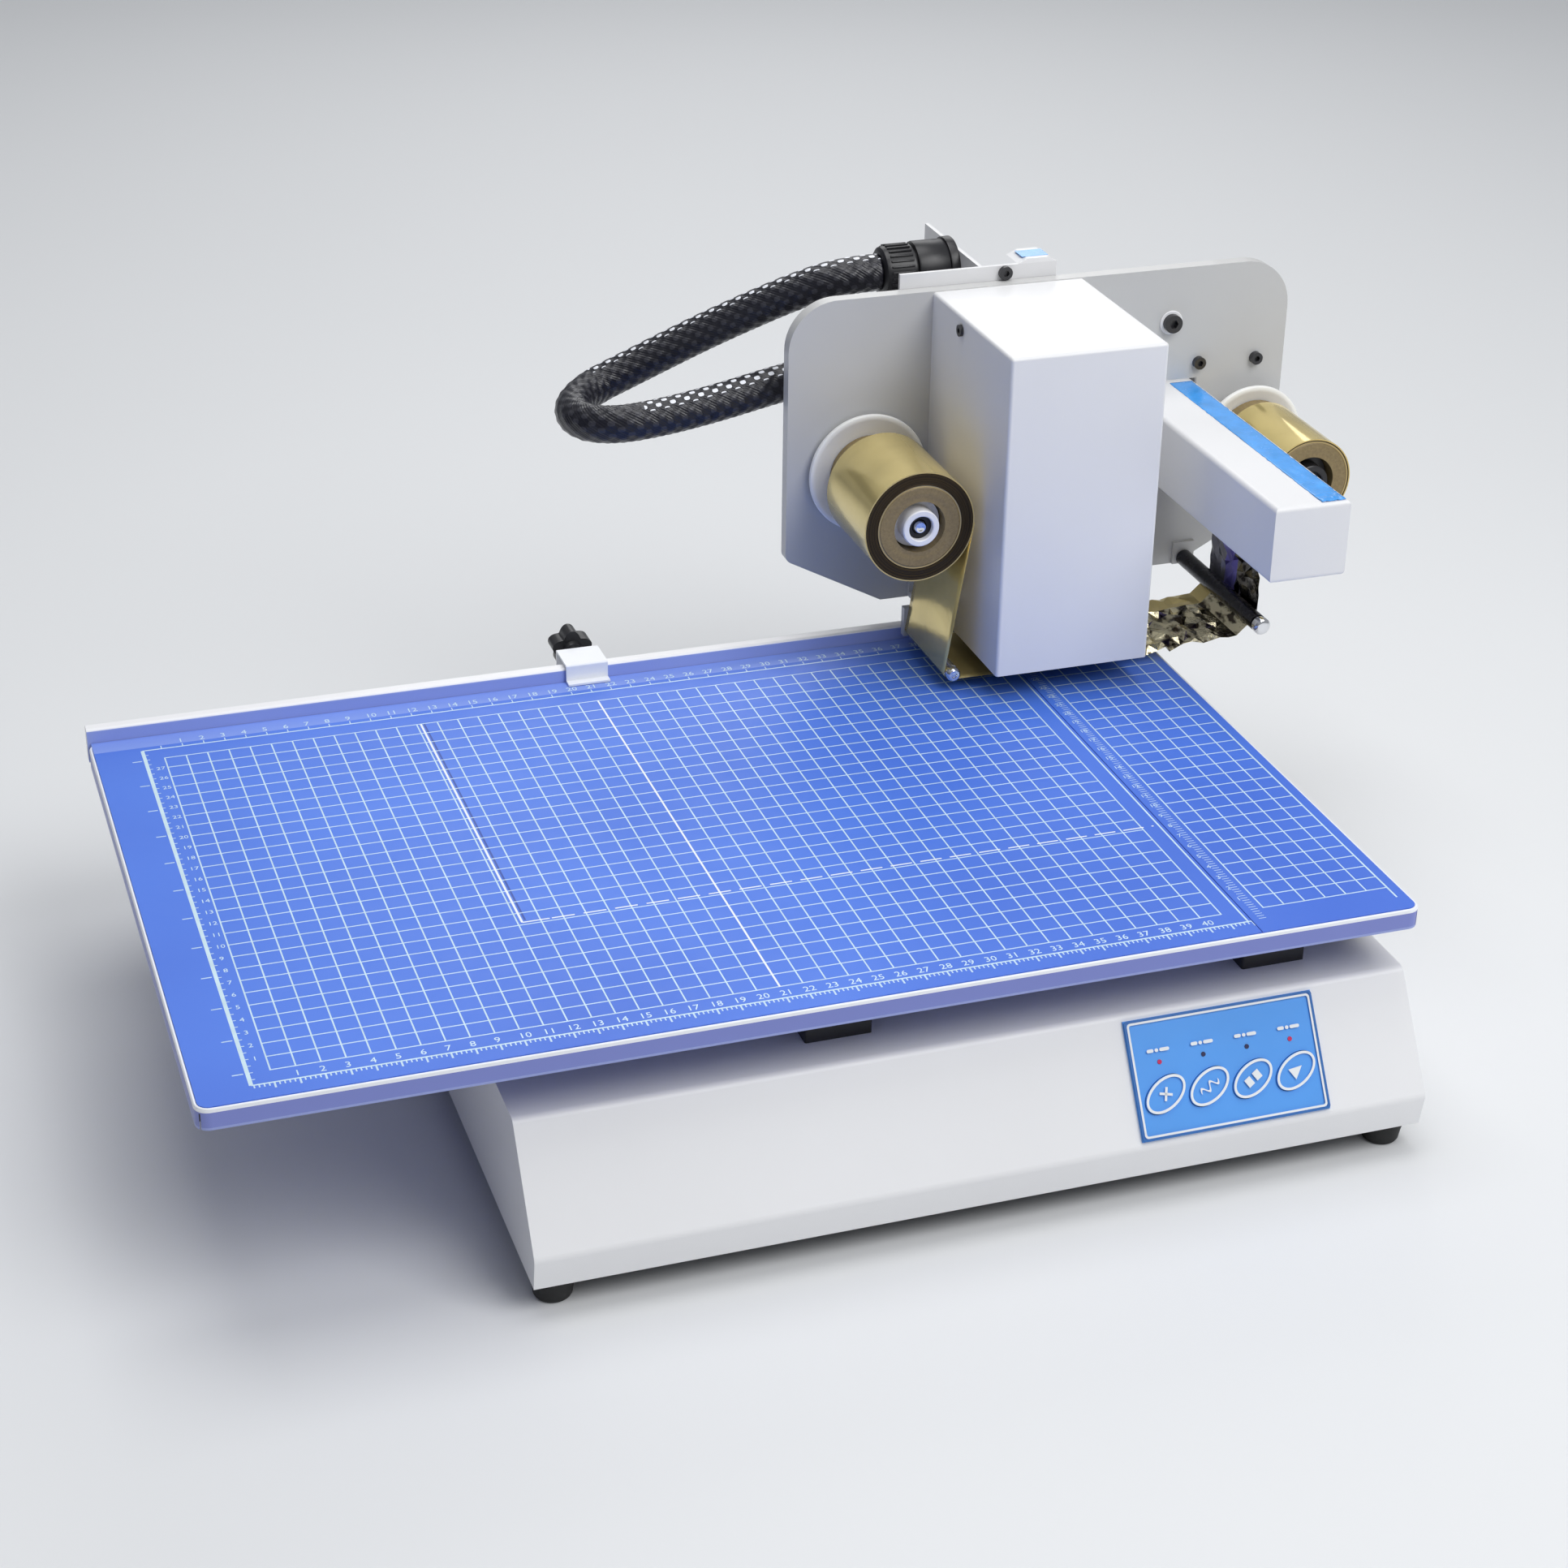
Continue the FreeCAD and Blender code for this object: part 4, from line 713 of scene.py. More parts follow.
def repeat_tree():
    """Geometry nodes that copy a piece along a line and turn each copy a little more."""
    name = "copies along and round"
    if name in bpy.data.node_groups:
        return bpy.data.node_groups[name]
    tree = bpy.data.node_groups.new(name, "GeometryNodeTree")
    face = tree.interface
    face.new_socket("Geometry", in_out="OUTPUT", socket_type="NodeSocketGeometry")
    face.new_socket("Piece", in_out="INPUT", socket_type="NodeSocketObject")
    face.new_socket("Count", in_out="INPUT", socket_type="NodeSocketInt")
    for vector in ("Start", "Step", "Turn"):
        face.new_socket(vector, in_out="INPUT", socket_type="NodeSocketVector")
    face.new_socket("Material", in_out="INPUT", socket_type="NodeSocketMaterial")
    new, link = tree.nodes.new, tree.links.new
    given, out = new("NodeGroupInput"), new("NodeGroupOutput")
    line = new("GeometryNodeMeshLine")
    link(given.outputs["Count"], line.inputs["Count"])
    link(given.outputs["Start"], line.inputs["Start Location"])
    link(given.outputs["Step"], line.inputs["Offset"])
    piece = new("GeometryNodeObjectInfo")
    link(given.outputs["Piece"], piece.inputs["Object"])
    turn = new("ShaderNodeVectorMath")
    turn.operation = "SCALE"
    link(given.outputs["Turn"], turn.inputs[0])
    link(new("GeometryNodeInputIndex").outputs[0], turn.inputs["Scale"])
    copies = new("GeometryNodeInstanceOnPoints")
    link(line.outputs["Mesh"], copies.inputs["Points"])
    link(piece.outputs["Geometry"], copies.inputs["Instance"])
    link(turn.outputs[0], copies.inputs["Rotation"])
    real = new("GeometryNodeRealizeInstances")
    link(copies.outputs["Instances"], real.inputs["Geometry"])
    paint = new("GeometryNodeSetMaterial")
    link(real.outputs["Geometry"], paint.inputs["Geometry"])
    link(given.outputs["Material"], paint.inputs["Material"])
    link(paint.outputs["Geometry"], out.inputs["Geometry"])
    return tree


def repeated(name, mesh, count, start, step, turn, material, body, replaces=()):
    """Copies of a small mesh as one plain mesh that rides on a body."""
    unit = linked(name + "_unit", mesh)
    holder = linked(name + "_holder", bpy.data.meshes.new(name + "_empty"))
    modifier = holder.modifiers.new("copies", "NODES")
    modifier.node_group = repeat_tree()
    values = {"Piece": unit, "Count": count, "Start": start, "Step": step, "Turn": turn,
              "Material": finish(material)}
    for item in modifier.node_group.interface.items_tree:
        if item.in_out == "INPUT":
            value = values[item.name]
            modifier[item.identifier] = tuple(value) if isinstance(value, Vector) else value
    holder.update_tag()
    made = evaluated(holder)
    made.name = name
    holder.modifiers.clear()
    bpy.data.objects.remove(holder)
    bpy.data.objects.remove(unit)
    if not made.vertices:
        raise RuntimeError(f"{name}: the copies came out empty")
    return put(name, made, material, body, replaces)


def thicken(piece, thickness):
    """Gives a sheet its thickness, half to each side."""
    skin = piece.modifiers.new("thickness", "SOLIDIFY")
    skin.thickness = thickness
    skin.offset = 0.0


def dress(node, *names):
    """Gives a frame node that stays visible its finished material."""
    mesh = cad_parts[node].data
    mesh.materials.clear()
    for name in names:
        mesh.materials.append(finish(name))


class Maker:
    """What every operator here shares."""

    bl_options = {"REGISTER", "UNDO"}

    def execute(self, context):
        self.make()
        return {"FINISHED"}


# ---- studio ----

CAMERA_PLACE = (-136.27, -1007.42, 649.54)
LIGHTS_AIM = Vector((0.05, 0.0, 0.12))


class FOIL_OT_studio(Maker, bpy.types.Operator):
    """Camera, pale floor, soft lights and world"""

    bl_idname = "foil.studio"
    bl_label = "Set the studio"

    def make(self):
        self.camera()
        self.floor()
        self.lights()

    def camera(self):
        studio = settings().studio
        data = bpy.data.cameras.new("camera")
        data.lens = studio.lens
        data.sensor_width = 36.0
        data.clip_start, data.clip_end = 0.01, 50.0
        made = linked("camera", data)
        turn = Matrix.Rotation(-studio.turn, 4, "Z") @ Matrix.Rotation(math.pi / 2 - studio.tilt, 4, "X")
        place = Matrix.Translation(spot(*CAMERA_PLACE))
        made.matrix_world = place @ turn @ Matrix.Rotation(studio.roll, 4, "Z")
        bpy.context.scene.camera = made

    def floor(self):
        bm = bmesh.new()
        bmesh.ops.create_grid(bm, x_segments=1, y_segments=1, size=6.0)
        mesh = meshed(bm, "floor")
        made = Finish("floor", (0.82, 0.83, 0.84), 0.6)
        made.vary((0.80, 0.81, 0.82), 1.5)
        mesh.materials.append(made.material)
        linked("floor", mesh)

    def lamp(self, name, place, power, size):
        data = bpy.data.lights.new(name, "AREA")
        data.energy, data.size = power, size
        made = linked(name, data)
        made.location = place
        made.rotation_euler = (LIGHTS_AIM - Vector(place)).to_track_quat("-Z", "Y").to_euler()

    def lights(self):
        key = settings().studio.key
        self.lamp("key light", (0.75, -1.25, 1.75), key, 1.3)
        self.lamp("top light", (0.0, 0.3, 2.1), key * 0.62, 1.3)
        self.lamp("rim light", (0.6, 1.8, 1.2), key * 0.22, 1.0)
        world = bpy.data.worlds.new("studio")
        world.use_nodes = True
        back = world.node_tree.nodes["Background"]
        back.inputs["Strength"].default_value = 0.36
        new, link = world.node_tree.nodes.new, world.node_tree.links.new
        split, lean, ramp = new("ShaderNodeSeparateXYZ"), new("ShaderNodeMath"), new("ShaderNodeMapRange")
        link(new("ShaderNodeTexCoord").outputs["Generated"], split.inputs[0])
        lean.operation = "MULTIPLY_ADD"
        link(split.outputs["Z"], lean.inputs[0])
        lean.inputs[1].default_value = 1.2
        link(split.outputs["X"], lean.inputs[2])
        link(lean.outputs[0], ramp.inputs["Value"])
        ramp.inputs["From Min"].default_value = -1.0
        ramp.inputs["From Max"].default_value = 0.2
        blend = new("ShaderNodeMix")
        blend.data_type = "RGBA"
        link(ramp.outputs["Result"], blend.inputs["Factor"])
        blend.inputs[6].default_value = (0.035, 0.05, 0.13, 1)
        blend.inputs[7].default_value = (0.92, 0.95, 1.0, 1)
        link(blend.outputs[2], back.inputs["Color"])
        bpy.context.scene.world = world
        bpy.context.scene.view_settings.view_transform = "Standard"


# ---- hose ----

# The hose's route, in millimetres from the grid's corner: out of the upper gland, left, down and back
# to a bend, then forward and right to the lower gland on the column.
HOSE_ROUTE = (
    (381.7, 366.0, 174.5), (362.0, 366.0, 174.5), (340.0, 373.0, 166.0), (319.0, 380.5, 155.6),
    (297.5, 387.5, 144.6), (276.5, 392.0, 134.0), (257.5, 394.5, 125.0), (239.5, 394.0, 118.0),
    (224.9, 379.6, 114.2), (224.6, 359.8, 113.8), (238.5, 345.6, 115.6), (263.0, 344.6, 117.8),
    (291.0, 344.8, 122.2), (319.0, 346.0, 127.6), (345.0, 350.0, 130.6), (369.0, 356.5, 129.6),
    (391.0, 360.0, 126.0), (412.0, 360.0, 126.0),
)
HOSE_DIAMETER = 0.019


class FOIL_OT_hose(Maker, bpy.types.Operator):
    """Braided hose from the column to the head, and its two glands"""

    bl_idname = "foil.hose"
    bl_label = "Make the hose"

    def make(self):
        self.tube()
        self.gland("upper_hose_gland", "head")
        self.gland("lower_hose_gland", "base")

    def centreline(self):
        """Points along the route's own smooth spline."""
        data = bpy.data.curves.new("hose_line", "CURVE")
        data.dimensions = "3D"
        data.resolution_u = 24
        spline = data.splines.new("NURBS")
        spline.points.add(len(HOSE_ROUTE) - 1)
        for point, place in zip(spline.points, HOSE_ROUTE):
            point.co = (*spot(*place), 1)
        spline.order_u = 3
        spline.use_endpoint_u = True
        line = linked("hose_line", data)
        points = [v.co.copy() for v in evaluated(line).vertices]
        bpy.data.objects.remove(line)
        return points

    def evenly(self, points, step):
        """The same line with its points a set distance apart."""
        total = sum((b - a).length for a, b in zip(points, points[1:]))
        count = max(2, round(total / step))
        marks = [total * i / count for i in range(count + 1)]
        made, done, i = [], 0.0, 0
        for mark in marks:
            while i < len(points) - 2 and done + (points[i + 1] - points[i]).length < mark:
                done += (points[i + 1] - points[i]).length
                i += 1
            run = points[i + 1] - points[i]
            made.append(points[i] + run * min(1.0, (mark - done) / max(run.length, 1e-9)))
        return made, total

    def tube(self):
        hose = settings().hose
        points, total = self.evenly(self.centreline(), 0.0008)
        sides = hose.strands * 7
        bm = bmesh.new()
        layer = bm.loops.layers.uv.new("along_round")
        rings = []
        lift = Vector((0, 0, 1))
        turn = 2 * math.pi
        for i, point in enumerate(points):
            along = (points[min(i + 1, len(points) - 1)] - points[max(i - 1, 0)]).normalized()
            side = along.cross(lift).normalized()
            lift = side.cross(along).normalized()
            u = total * i / (len(points) - 1) / hose.knot
            fade = min(1.0, min(i, len(points) - 1 - i) / 4)
            ring = []
            for step in range(sides):
                angle = turn * step / sides
                v = hose.strands * step / sides
                height = math.cos(turn * v) * math.cos(turn * u)
                reach = hose.radius - hose.relief + hose.relief * height * fade
                ring.append(bm.verts.new(point + (side * math.cos(angle) + lift * math.sin(angle)) * reach))
            rings.append((u, ring))
        for (u0, one), (u1, two) in zip(rings, rings[1:]):
            for step in range(sides):
                nxt = (step + 1) % sides
                face = bm.faces.new((one[step], one[nxt], two[nxt], two[step]))
                face.smooth = True
                spots = ((u0, step), (u0, step + 1), (u1, step + 1), (u1, step))
                for loop, (u, v) in zip(face.loops, spots):
                    loop[layer].uv = (u, v / sides)
        bm.faces.new(list(reversed(rings[0][1])))
        bm.faces.new(rings[-1][1])
        bmesh.ops.recalc_face_normals(bm, faces=bm.faces)
        mesh = meshed(bm, "braided_hose_sleeve")
        mesh.materials.append(finish("braid"))
        made = linked("braided_hose_sleeve", mesh)
        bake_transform(made, "base", "head", start=points[-1], end=points[0])
        share = made.data.attributes["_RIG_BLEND"].data
        for i in range(len(points)):
            t = 1 - i / (len(points) - 1)
            weight = t * t * (3 - 2 * t)
            for step in range(sides):
                share[i * sides + step].value = weight
        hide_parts("braided_hose")

    def gland(self, node, body):
        """Union nut with grip ribs, a locking ring and a smooth body."""
        at, long, r = span(node, "X")
        bore = HOSE_DIAMETER / 2 / MM - 1.5
        nut = long * 0.42
        profile = [(0.05, bore), (0.05, r - 4.2), (1.2, r - 2.6), (3.0, r - 2.1), (nut, r - 2.1),
                   (nut, r - 3.4), (nut + 1.4, r - 3.4), (nut + 1.4, r - 1.2), (nut + 2.2, r - 0.9),
                   (long - 5.2, r - 0.9), (long - 4.6, r - 1.2), (long - 4.6, r - 0.2), (long - 3.9, r),
                   (long - 0.4, r), (long, r - 0.4), (long, bore)]
        made = turned(node + "_body", profile, at, "X", 72)
        put(node + "_body", made, "black plastic", body, [node])
        half, ribs = 0.55, 28
        rib = rounded_box(Vector((3.2, -half, r - 2.5)) * MM, Vector((nut - 1.0, half, r - 1.3)) * MM,
                          0.3 * MM, 2)
        repeated(node + "_ribs", solid(rib, node + "_rib"), ribs, at, Vector(),
                 Vector((2 * math.pi / ribs, 0, 0)), "black plastic", body)


# ---- bed ----

class FOIL_OT_bed(Maker, bpy.types.Operator):
    """Mats with their print, tray, fence, rails and drive"""

    bl_idname = "foil.bed"
    bl_label = "Finish the bed"

    def make(self):
        dress("cutting_mat", "mat")
        dress("side_mat", "mat")
        dress("bed_tray", "lip")
        dress("rear_fence", "fence")
        dress("bed_rails", "steel rod")
        dress("rail_supports", "black metal")
        dress("bearing_blocks", "black metal")
        dress("drive_belt", "belt")
        dress("belt_clamps", "aluminium")
        dress("drive_pulley", "aluminium")
        dress("bed_motor", "black metal")
        self.edge()
        self.numerals()
        self.block_screws()

    def edge(self):
        """Rolled bead round the tray's rim, between the mats and the lip; its white is partly a painted
        highlight along the bent edge.
        """
        low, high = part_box("bed_tray")
        r = 0.72 * MM
        inset = 0.74 * MM
        corner = 5.6
        w, h = (high.x - low.x - 2 * inset) / MM, (high.y - low.y - 2 * inset) / MM
        outline = rounded_rect(w, h, corner)
        origin = Vector((low.x + inset, low.y + inset, CORNER.z - 0.86 * MM))
        points = [origin + Vector((u, v, 0)) * MM for u, v in outline]
        mesh = solid(sweep(bmesh.new(), points, r, 10, closed=True), "tray_edge")
        # The bead's white is partly a painted highlight along the tray's bent top edge; the same white is the
        # stop clip's own paint.
        put("tray_edge", mesh, "edge white", "bed")

    def numerals(self):
        """Ruler numbers along the mat's left, front and rear edges."""
        size, sunk, proud = 4.4, 0.02, 0.032
        square = 10
        up_the_side, along_the_front = range(1, int(GRID_DEEP / square)), range(1, int(GRID_ACROSS / square))
        marks = [(str(i), -5.4, i * square - 1.6, 3.4) for i in up_the_side]
        for i in along_the_front:
            marks += [(str(i), i * square - 1.6, y, size) for y in (-7.0, 294.4)]
        marks += [(str(i), 422.2, i * square - 1.4, 3.2) for i in up_the_side]
        bm = bmesh.new()
        for text, x, y, high in marks:
            data = bpy.data.curves.new("numeral", "FONT")
            data.body = text
            data.size = high * MM * 1.25
            data.resolution_u = 2
            made = linked("numeral", data)
            mesh = evaluated(made)
            mesh.transform(Matrix.Translation(spot(x, y, -sunk)))
            bm.from_mesh(mesh)
            bpy.data.objects.remove(made)
        raised = bmesh.ops.extrude_face_region(bm, geom=bm.faces[:])
        up = [g for g in raised["geom"] if isinstance(g, bmesh.types.BMVert)]
        bmesh.ops.translate(bm, verts=up, vec=Vector((0, 0, (sunk + proud) * MM)))
        bmesh.ops.recalc_face_normals(bm, faces=bm.faces)
        put("mat_numerals", meshed(bm, "mat_numerals"), "ink", "bed")

    def block_screws(self):
        """Cap screws on the ends of the rails' supports."""
        low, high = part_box("rail_supports")
        r = 2.1
        cap = [(0, 0), (0, r), (-1.0, r), (-1.3, r - 0.3), (-1.3, 1.1), (-0.5, 1.1), (-0.5, 0)]
        inset, head, apart, up = 12.0 * MM, 1.3 * MM, 16.0 * MM, 4.0 * MM
        for side, x, sign in (("left", low.x, 1), ("right", high.x, -1)):
            for row, y in (("front", low.y + inset), ("rear", high.y - inset)):
                profile = [(along * sign, radius) for along, radius in cap]
                unit = turned("cap", profile, Vector(), "X", 20)
                start = Vector((x + head * sign, y - apart / 2, low.z + up))
                repeated(f"support_screws_{side}_{row}", unit, 2, start, Vector((0, apart, 0)), Vector(),
                         "steel rod", "bed")


# ---- stop clip ----

class FOIL_OT_clip(Maker, bpy.types.Operator):
    """Stop clip on the fence and its star knob"""

    bl_idname = "foil.clip"
    bl_label = "Finish the stop clip"

    def make(self):
        dress("stop_clip", "edge white")
        low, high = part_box("clamp_knob")
        middle = (low + high) / 2
        stem = 18.7
        thick = (high.y - low.y) / MM
        lobes, steps = 5, 150
        reach = min(high.z - middle.z, high.x - middle.x) / MM
        at = Vector((centre("stop_clip").x, low.y, 0))
        at.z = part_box("stop_clip")[1].z - 5.5 * MM
        outline = []
        for step in range(steps):
            angle = 2 * math.pi * step / steps
            wave = 0.5 + 0.5 * math.cos(lobes * (angle - math.pi / 2))
            r = reach * (0.70 + 0.28 * wave ** 0.7)
            outline.append((r * math.cos(angle), r * math.sin(angle)))
        across, up = Vector((1, 0, 0)), Vector((0, 0, 1))
        head = slab(outline, -thick + 0.02, -stem, at, across, up)
        rim = [e for e in head.edges if not e.calc_face_angle(0) < 0.9]
        bmesh.ops.bevel(head, geom=rim, offset=1.1 * MM, segments=3, affect="EDGES", clamp_overlap=True)
        pin = [(0, 0), (0, 2.7), (stem + 1, 2.7), (stem + 1, 0)]
        collar = [(stem - 2.2, 0), (stem - 2.2, 4.4), (stem + 0.6, 5.6), (stem + 0.6, 0)]
        meshes = [solid(head, "knob_head"), turned("knob_pin", pin, at), turned("knob_collar", collar, at)]
        put("star_knob", merged(meshes, "star_knob"), ["black plastic", "steel rod", "black plastic"], "knob",
            ["clamp_knob"])


# ---- foil ----

class FOIL_OT_spools(Maker, bpy.types.Operator):
    """Supply and take-up spools with wound foil"""

    bl_idname = "foil.spools"
    bl_label = "Wind the spools"

    def make(self):
        self.spool("supply", "supply")
        self.spool("take_up", "take_up")
        dress("supply_bearing", "aluminium")
        dress("foil_motor", "black metal")

    def spool(self, name, body):
        at, wide, outer = span(name + "_foil")
        _, _, inner = span(name + "_core")
        face = []
        steps = max(3, round((outer - inner) / 0.22))
        for step in range(steps + 1):
            r = inner + (outer - inner) * step / steps
            wobble = noise.noise(Vector((r * 1.7, outer, 0))) * 0.22
            face.append((0.28 + wobble, r))
        edge = finish_ring(name, at, inner, outer)
        back = [(wide - 0.3, outer), (wide - 0.3, inner)]
        side = [(0.28 + 0.05, outer), (0.8, outer - 0.02)]
        bm = lathe(bmesh.new(), face + side + back, at, "Y", 128)
        mesh = solid(bm, name + "_roll")
        put(name + "_roll", mesh, "roll foil", body, [name + "_foil"])
        mesh.materials.append(edge)
        end_deep, facing = 0.7 * MM, 0.3
        for polygon in mesh.polygons:
            if polygon.center.y < at.y + end_deep and abs(polygon.normal.y) > facing:
                polygon.material_index = 1
        self.core(name, body)
        self.flange(name, body)
        self.hub(name, body)

    def core(self, name, body):
        at, wide, outer = span(name + "_core")
        outer -= 0.05
        bore = 13.0
        profile = [(0.1, bore), (0.1, bore + 0.6), (0.25, bore + 2.8), (0.1, bore + 3.2), (0.22, outer - 2.4),
                   (0.1, outer - 0.4), (0.4, outer), (wide - 0.05, outer), (wide - 0.05, bore)]
        put(name + "_tube", turned(name + "_tube", profile, at), "card", body, [name + "_core"])

    def flange(self, name, body):
        at, thick, r = span(name + "_flange")
        profile = [(0.6, 6.2), (0.6, r - 3.4), (0.0, r - 2.6), (0.0, r - 0.8), (0.25, r - 0.25), (0.8, r),
                   (thick - 0.8, r), (thick - 0.25, r - 0.25), (thick, r - 0.8), (thick, 6.2)]
        put(name + "_disc", turned(name + "_disc", profile, at), "flange plastic", body,
            [name + "_flange"])

    def hub(self, name, body):
        """Hub with a raised collar, a near-black lining in its recess as painted shade, and a screw down in
        it.
        """
        at, long, _ = span(name + "_spindle")
        white = name == "supply"
        collar = [(4.0, 6.1), (0.4, 6.1), (0.0, 6.6), (0.0, 8.7), (0.5, 9.2), (9.0, 9.2), (9.0, 12.3),
                  (long - 14, 12.3), (long - 14, 5.9), (long - 0.1, 5.9), (long - 0.1, 4.0), (8.0, 4.0),
                  (8.0, 6.1)]
        screw = [(2.0, 0), (1.2, 1.6), (1.2, 2.6), (2.4, 3.2), (3.6, 3.6), (8.2, 3.6), (8.2, 0)]
        # The recess's near-black lining is painted shade inside the hub's bore.
        recess = [(3.0, 3.7), (3.0, 6.08), (7.9, 6.08), (7.9, 3.7)]
        meshes = [turned("hub_collar", collar, at), turned("hub_screw", screw, at, "Y", 40),
                  turned("hub_recess", recess, at)]
        finishes = ["hub plastic" if white else "black plastic", "chrome", "recess black"]
        put(name + "_hub", merged(meshes, name + "_hub"), finishes, body, [name + "_spindle"])


def finish_ring(name, at, inner, outer):
    key = name + " edge"
    if key not in FINISHES:
        FINISHES[key] = wound_edge(key, at, inner, outer).material
    return FINISHES[key]


class FOIL_OT_web(Maker, bpy.types.Operator):
    """Foil from roll to rod, under the head, and creased on its way up to the take-up roll"""

    bl_idname = "foil.web"
    bl_label = "Thread the foil"

    COLUMNS = 13

    def local(self, node):
        """Across and up, in millimetres, of a node's middle, and its radius."""
        low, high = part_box(node)
        middle = (low + high) / 2 - CORNER
        return middle.x / MM, middle.z / MM, (high.x - low.x) / 2 / MM

    def run(self, start, end, steps, crease, kind):
        """Points of a straight run after its start: across, up, how creased, and which stretch."""
        made = []
        for step in range(1, steps + 1):
            t = step / steps
            made.append((start[0] + (end[0] - start[0]) * t, start[1] + (end[1] - start[1]) * t,
                         crease * math.sin(math.pi * min(1.0, t + 0.25 / steps)) ** 0.5, kind))
        return made

    def bend(self, x, z, radius, first, last, steps, kind):
        angles = [math.radians(first + (last - first) * step / steps) for step in range(steps + 1)]
        return [(x + radius * math.cos(a), z + radius * math.sin(a), 0.0, kind) for a in angles]

    def line(self):
        sx, sz, roll = self.local("supply_foil")
        tx, tz, taken = self.local("take_up_foil")
        rx, rz, rod = self.local("left_guide_rod")
        bx, bz, bar = self.local("right_guide_bar")
        hx, _, _ = self.local("print_head")
        under = 4.9
        points = [(sx + roll + 0.2, sz - 1.0, 0.0, 0)]
        points += self.bend(rx, rz, rod + 0.35, 180, 270, 8, 0)
        points += self.run(points[-1], (hx - 20, under), 8, 0.0, 0)
        points += self.run(points[-1], (hx + 36, under), 9, 0.35, 1)
        points += self.run(points[-1], (bx - 5, under + 3.4), 15, 1.0, 1)
        points += self.bend(bx, bz, bar + 0.8, -60, 0, 4, 2)
        points += self.run(points[-1], (tx - taken - 0.4, tz - 1.0), 15, 0.8, 2)
        return points

    def make(self):
        foil = settings().foil
        low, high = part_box("foil_web")
        wide = (high.y - low.y) / MM
        points = self.line()
        bm = bmesh.new()
        grid = []
        floor = CORNER.z + 1.4 * MM
        for i, (x, z, crease, kind) in enumerate(points):
            before, after = points[max(i - 1, 0)], points[min(i + 1, len(points) - 1)]
            along = Vector((after[0] - before[0], 0, after[1] - before[1])).normalized()
            normal = Vector((-along.z, 0, along.x))
            row = []
            for j in range(self.COLUMNS + 1):
                share = j / self.COLUMNS
                calm = 1.0 if share < 0.74 else 0.25
                seed = Vector((i * 0.731, j * 0.617, foil.seed + 0.37))
                push, slip, drift = (noise.noise(seed * k) * crease * calm for k in (2.3, 3.7, 5.1))
                inwards = {0: 1, self.COLUMNS: -1}.get(j)
                edge = abs(slip) * 2.4 * inwards if inwards else slip * 4.2
                place = Vector((CORNER.x + x * MM, low.y + (wide * share + edge) * MM, CORNER.z + z * MM))
                place += normal * (push * foil.crease * 3.4) + along * (drift * 3.6 * MM)
                place.z = max(place.z, floor)
                row.append(bm.verts.new(place))
            grid.append(row)
        for i, (one, two) in enumerate(zip(grid, grid[1:])):
            for j in range(self.COLUMNS):
                quad = (one[j], one[j + 1], two[j + 1], two[j])
                halves = (quad[:3], (quad[0],) + quad[2:]) if (i + j) % 2 else (quad[1:], quad[:2] + quad[3:])
                kind, share = points[i][3], (j + 0.5) / self.COLUMNS
                for half in halves:
                    face = bm.faces.new(half)
                    face.smooth = kind == 0
                    face.material_index = self.stretch(kind, share)
        finishes = ["gold foil", "used foil", "dark foil", "violet foil", "silver foil"]
        made = put("foil_ribbon", meshed(bm, "foil_ribbon"), finishes, "head", ["foil_web"])
        thicken(made, 0.00006)

    def stretch(self, kind, share):
        """Fresh foil, used foil with a fresh rear margin, then the riser's dark, violet and silver bands."""
        if kind == 0 or (kind == 1 and share > 0.78):
            return 0
        if kind == 1:
            return 1
        return 2 if share < 0.5 else 3 if share < 0.68 else 4


# ---- head ----

